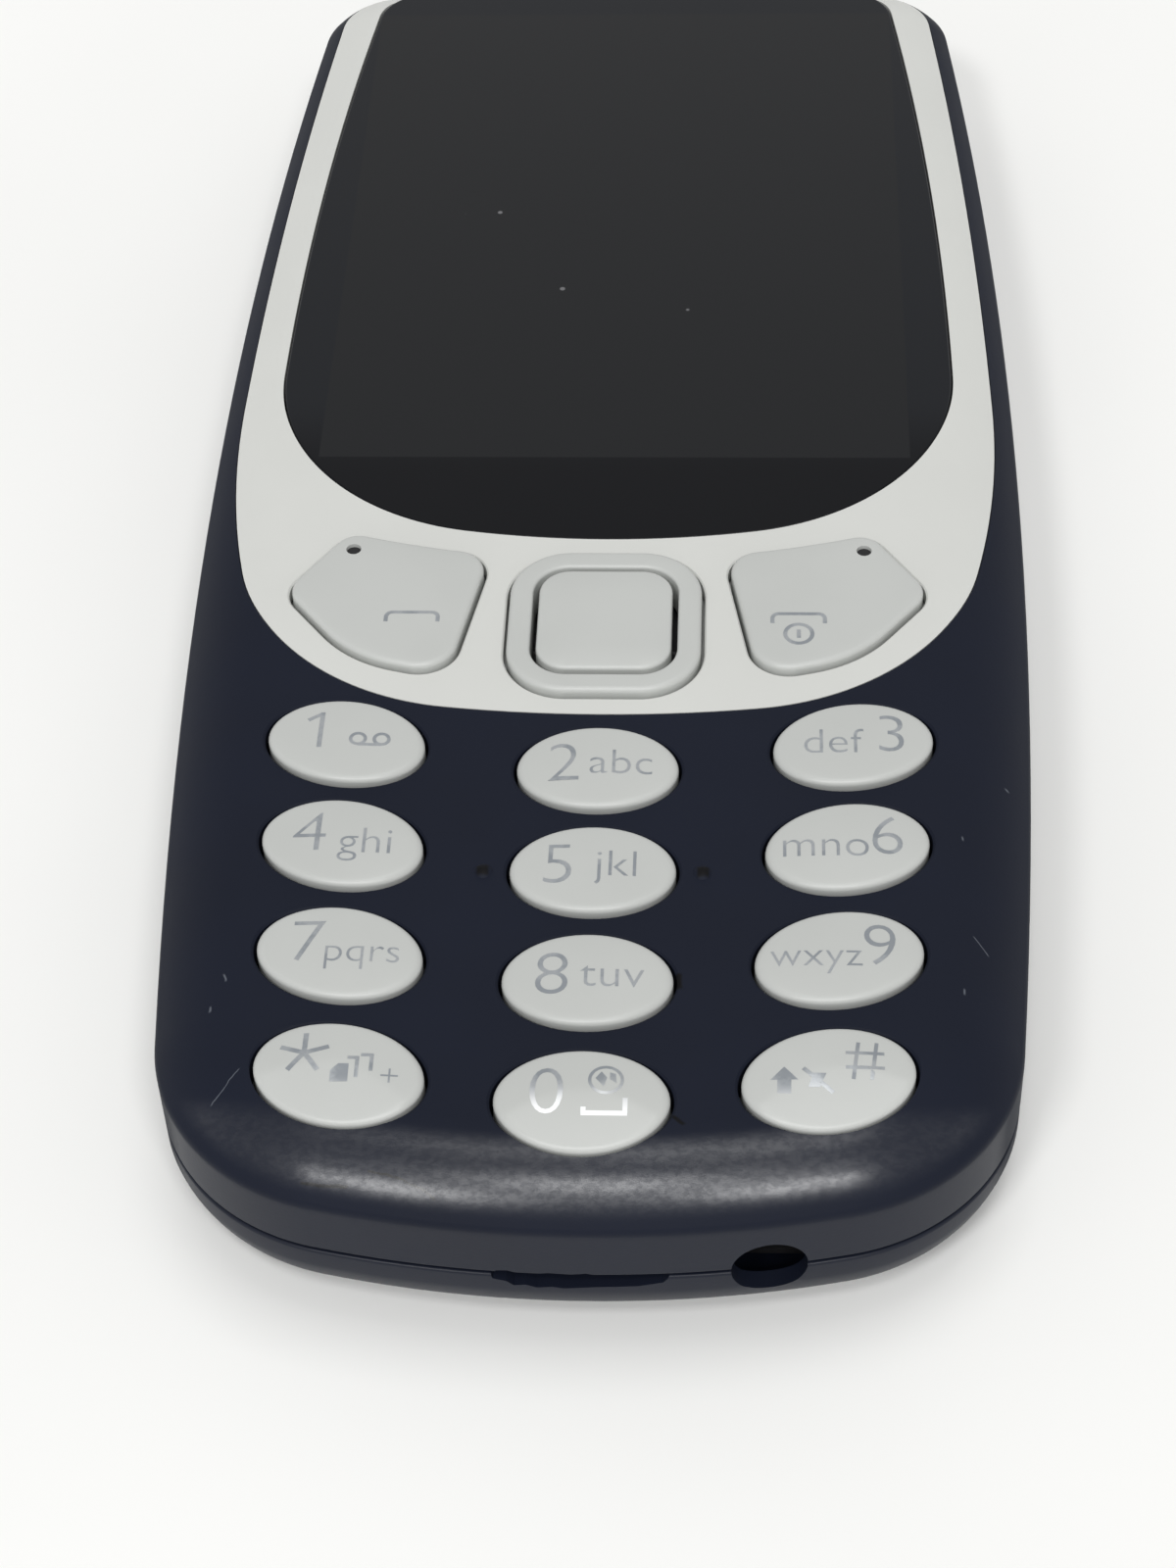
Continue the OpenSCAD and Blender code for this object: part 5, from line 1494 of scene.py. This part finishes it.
@dataclass
class Navigation(Assembly):
    """Side keys, navigation ring and select key."""

    face_z: float = 12.1
    flange_z: float = 10.25
    flange_t: float = 0.45
    flange: float = 0.7
    gap: float = 0.2
    y: float = -15.55
    ring_w: float = 11.5
    ring_l: float = 11.9
    ring_r: float = 3.6
    ring_wall: float = 1.4
    ring_top: float = 12.6
    ring_edge: float = 0.22
    select_gap: float = 0.35
    select_top: float = 12.8
    select_edge: float = 0.26
    # The select key's crown: how far in from its edge, and how far under its top
    select_drop: float = 0.13
    select_crown: tuple[Point, ...] = ((0.8, 0.06), (1.4, 0.025), (1.8, 0.01))
    side_top: float = 12.6
    side_drop: float = 0.02
    side_crown: Point = (0.75, 1.3)
    edge: float = 0.32
    hole_low: float = 6.0
    # Corners of the left key: two along the window, by angle and radius, and three below
    upper_corners: tuple[Point, Point] = ((15.75, 1.5), (9.4, 1.75))
    lower_corners: tuple[Circle, ...] = (
        Circle(-17.2, -12.9, 1.75), Circle(-10.34, -11.51, 8.0), Circle(-10.9, -17.3, 2.25))
    window_centre: Point = (0.0, 44.6)
    window_r: float = 54.8
    dimple: Point = (-15.5, -9.5)
    dimple_r: float = 0.45
    dimple_d: float = 0.5
    dimple_flare: float = 0.06
    dimple_drop: float = 0.05
    dimple_over: float = 0.3
    # Thickness of the black disc of painted shade on the dimple's floor
    pit_shade_h: float = 0.25
    sign: Point = (11.5, -15.45)

    def ring_plan(self) -> Outline:
        """Outline of the ring."""
        return round_rect(self.ring_w, self.ring_l, self.ring_r, self.y)

    def left_plan(self) -> Outline:
        """Draws the left key, its upper edge bowed in along the window.

        Returns:
            The outline.
        """
        cx, cy = self.window_centre

        def under(angle: float, r: float) -> Circle:
            """Corner circle that touches the window's parallel at an angle from straight down."""
            d, a = self.window_r + r, math.radians(angle)
            return Circle(cx - d * math.sin(a), cy - d * math.cos(a), r)
        outer, inner = (under(*corner_at) for corner_at in self.upper_corners)
        return Outline((outer, *self.lower_corners, inner, Circle(cx, cy, -self.window_r)))

    def holes(self) -> list[Form]:
        """Makes the cutters for the fascia.

        Returns:
            The cutters.
        """
        wall = flared(-self.gap, -FLARE, self.hole_low, self.face_z)
        plans = (self.ring_plan(), self.left_plan(), self.left_plan().mirrored())
        return [Form().sweep(plan, wall) for plan in plans]

    def rim(self, top: float, edge: float) -> list[Point]:
        """Draws a key's flange, wall and rounded upper edge.

        Args:
            top: level of the edge.
            edge: its radius.

        Returns:
            The profile, upwards.
        """
        level = self.flange_z + self.flange_t
        return [(-self.flange, self.flange_z), (-self.flange, level), (0, level)] + arc(
            (edge, top - edge), (edge, edge), 180, 90, 6)

    def build(self) -> None:
        """Builds the four pieces and their marks."""
        self.build_side("left_key", self.left_plan(), 1)
        self.build_side("right_key", self.left_plan().mirrored(), -1)
        e, top, wall = self.ring_edge, self.ring_top, self.ring_wall
        inner = arc((wall - e, top - e), (e, e), 90, 0, 5) + [(wall, self.flange_z)]
        ring = Form().sweep(self.ring_plan(), self.rim(top, self.edge) + inner, ring=True)
        self.issue(ring, "nav_ring_cap", "nav_ring", "nav_ring", "key_grey", Finish.KEYS)
        e, top, inset = self.select_edge, self.select_top, wall + self.select_gap
        plan = round_rect(self.ring_w - 2 * inset, self.ring_l - 2 * inset, self.ring_r - inset, self.y)
        side = arc((e, top - self.select_drop - e), (e, e), 180, 100, 6)
        crown = [(d, top - under) for d, under in self.select_crown]
        key = Form().sweep(plan, [(0, self.flange_z + self.flange_t)] + side + crown)
        self.issue(key, "select_cap", "select_key", "select_key", "key_grey", Finish.KEYS)

    def build_side(self, name: str, plan: Outline, side: int) -> None:
        """Builds a side key with its dimple and sign, and a black disc of painted shade on the dimple's
        floor.

        Args:
            name: the key's node and body.
            plan: its outline.
            side: 1 for the left key, -1 for the right.
        """
        top = self.side_top
        crown = [(d, top) for d in self.side_crown]
        key = Form().sweep(plan, self.rim(top - self.side_drop, self.edge) + crown)
        spot = Matrix.Translation((side * self.dimple[0], self.dimple[1], 0))
        r, floor, over = self.dimple_r, top - self.dimple_d, top + self.dimple_over
        mouth = [(r, top - self.dimple_drop), (r + self.dimple_flare, over)]
        pit = [(0, floor), (r, floor), *mouth, (0, over)]
        key.work(Form().revolve(pit, 32).place(spot))
        self.issue(key, f"{name}_cap", name, name, "key_grey", Finish.KEYS)
        # Painted shade: a black disc on the dimple's floor makes the hollow read dark
        cap = floor + self.pit_shade_h
        plug = Form().revolve([(0, floor), (r, floor), (r, cap), (0, cap)], 32)
        self.issue(plug.place(spot), f"{name}_pit", name, None, "black_plastic", Finish.BLACK)
        ink, sign = Ink(), Sign.CALL if side == 1 else Sign.END
        sign.value.put(ink, -side * self.sign[0], self.sign[1])
        ink.film(FILM).place(Matrix.Translation((0, 0, top + PROUD)))
        self.issue(ink, f"{name}_sign", name, None, "key_grey", Finish.LEGEND)


@dataclass
class Inside(Assembly):
    """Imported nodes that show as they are."""

    nodes_in: dict[Finish, tuple[str, ...]] = field(default_factory=lambda: {
        Finish.STEEL: ("lcd_tray", "earpiece", "dome_sheet", "shield_can", "sim_holder", "card_holder",
                       "loudspeaker", "vibration_motor", "microphone", "usb_port", "screws"),
        Finish.GOLD: ("battery_contacts", "antenna"),
        Finish.BLACK: ("nav_cradle", "chassis", "headset_jack", "camera_module", "earpiece_mesh"),
        Finish.FOAM: ("display_gasket",),
        Finish.RUBBER: ("keypad_mat",),
        Finish.BATTERY: ("battery",),
        Finish.BOARD: ("main_board",),
        Finish.GLASS: ("lcd_module",),
        Finish.LENS: ("camera_window",),
        Finish.LAMP: ("flash_lamp",),
    })

    def dress(self) -> None:
        """Gives every node that stays its finish."""
        for finish, nodes in self.nodes_in.items():
            for name in nodes:
                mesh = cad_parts[name].data
                mesh.materials.clear()
                mesh.materials.append(self.stock[finish])
                log.info("node %s in %s", name, finish.value.name)


@dataclass(frozen=True)
class Lamp:
    """A soft lamp: its place and its two sides, in metres, and its power, in watts."""

    name: str
    place: tuple[float, float, float]
    width: float
    depth: float
    power: float

    def hang(self, aim: Vector) -> None:
        """Hangs the lamp.

        Args:
            aim: the point that it faces.
        """
        light = bpy.data.lights.new(self.name, "AREA")
        light.shape, light.energy = "RECTANGLE", self.power
        light.size, light.size_y = self.width, self.depth
        held = bpy.data.objects.new(self.name, light)
        bpy.context.scene.collection.objects.link(held)
        held.location = self.place
        held.rotation_euler = (aim - held.location).to_track_quat("-Z", "Y").to_euler()


@dataclass
class Studio:
    """Table, light and camera."""

    eye: Vector = Vector((8.038, -152.509, 143.09)) * MM
    right: Vector = Vector((0.99885, 0.03754, -0.02969))
    up: Vector = Vector((-0.00686, 0.72621, 0.68744))
    ahead: Vector = Vector((-0.04737, 0.68645, -0.72563))
    lens: float = 73.1
    sensor: float = 36.0
    clip: Point = (0.005, 20.0)
    table_reach: float = 4000.0
    table: Colour = srgb(245, 245, 243)
    sky: float = 0.30
    horizon: float = 0.75
    sky_rise: Point = (0.2, 0.8)
    aim: Vector = Vector((0, -0.01, 0.006))
    lamps: tuple[Lamp, ...] = (
        Lamp("left_lamp", (-0.84, -1.84, 2.12), 0.5, 0.4, 20.0),
        Lamp("middle_lamp", (-0.06, -1.30, 2.66), 0.5, 0.4, 15.0),
        Lamp("right_lamp", (0.68, -1.78, 2.32), 0.5, 0.4, 19.0),
        Lamp("top_lamp", (0.16, 0.44, 2.90), 1.3, 1.3, 16.0),
    )

    def build(self) -> None:
        """Sets out the table, the light and the camera."""
        scene = bpy.context.scene
        scene.view_settings.view_transform = "Standard"
        self.build_table()
        self.build_sky()
        for lamp in self.lamps:
            lamp.hang(self.aim)
        camera = bpy.data.objects.new("camera", bpy.data.cameras.new("camera"))
        scene.collection.objects.link(camera)
        axes = Matrix((self.right, self.up, -self.ahead)).transposed().to_4x4()
        camera.matrix_world = Matrix.Translation(self.eye) @ axes
        camera.data.sensor_width, camera.data.lens = self.sensor, self.lens
        camera.data.clip_start, camera.data.clip_end = self.clip
        scene.camera = camera

    def build_table(self) -> None:
        """Lays a pale table under the phone."""
        form = Form()
        bmesh.ops.create_grid(form.bm, x_segments=8, y_segments=8, size=self.table_reach)
        table = form.finish("table")
        g = Graph(bpy.data.materials.new("table_paper"))
        tone = g.noise(60, 2).ease(0.3, 0.7).blend(self.table, shade(self.table, 0.97))
        table.data.materials.append(g.surface(Base_Color=tone, Roughness=0.8, Specular_IOR_Level=0.1,
                                              Normal=g.bump(g.noise(0.6, 4), 0.004)))

    def build_sky(self) -> None:
        """Makes the room: pale along the horizon, dim above it."""
        g = Graph(bpy.data.worlds.new("room"), "Generated")
        up = g.node("ShaderNodeSeparateXYZ", {}, {0: g.place}, "Z")
        level = self.horizon + up.ease(*self.sky_rise) * (self.sky - self.horizon)
        back = g.node("ShaderNodeBackground", {}, {"Color": (1, 1, 1, 1), "Strength": level})
        g.node("ShaderNodeOutputWorld", {}, {"Surface": back})
        bpy.context.scene.world = g.owner


def main() -> None:
    """Builds the phone piece by piece, then the studio."""
    logging.basicConfig(level=logging.INFO, format="%(message)s")
    stock = {finish: finish.value.make() for finish in Finish}
    covers, front, keys, nav = Covers(stock), Front(stock), Keypad(stock), Navigation(stock)
    covers.build_front(front.plan(), front.ledge, keys)
    covers.build_rear()
    front.build_fascia(nav)
    front.build_window()
    keys.build()
    nav.build()
    Inside(stock).dress()
    Studio().build()


if __name__ == "__main__":
    main()
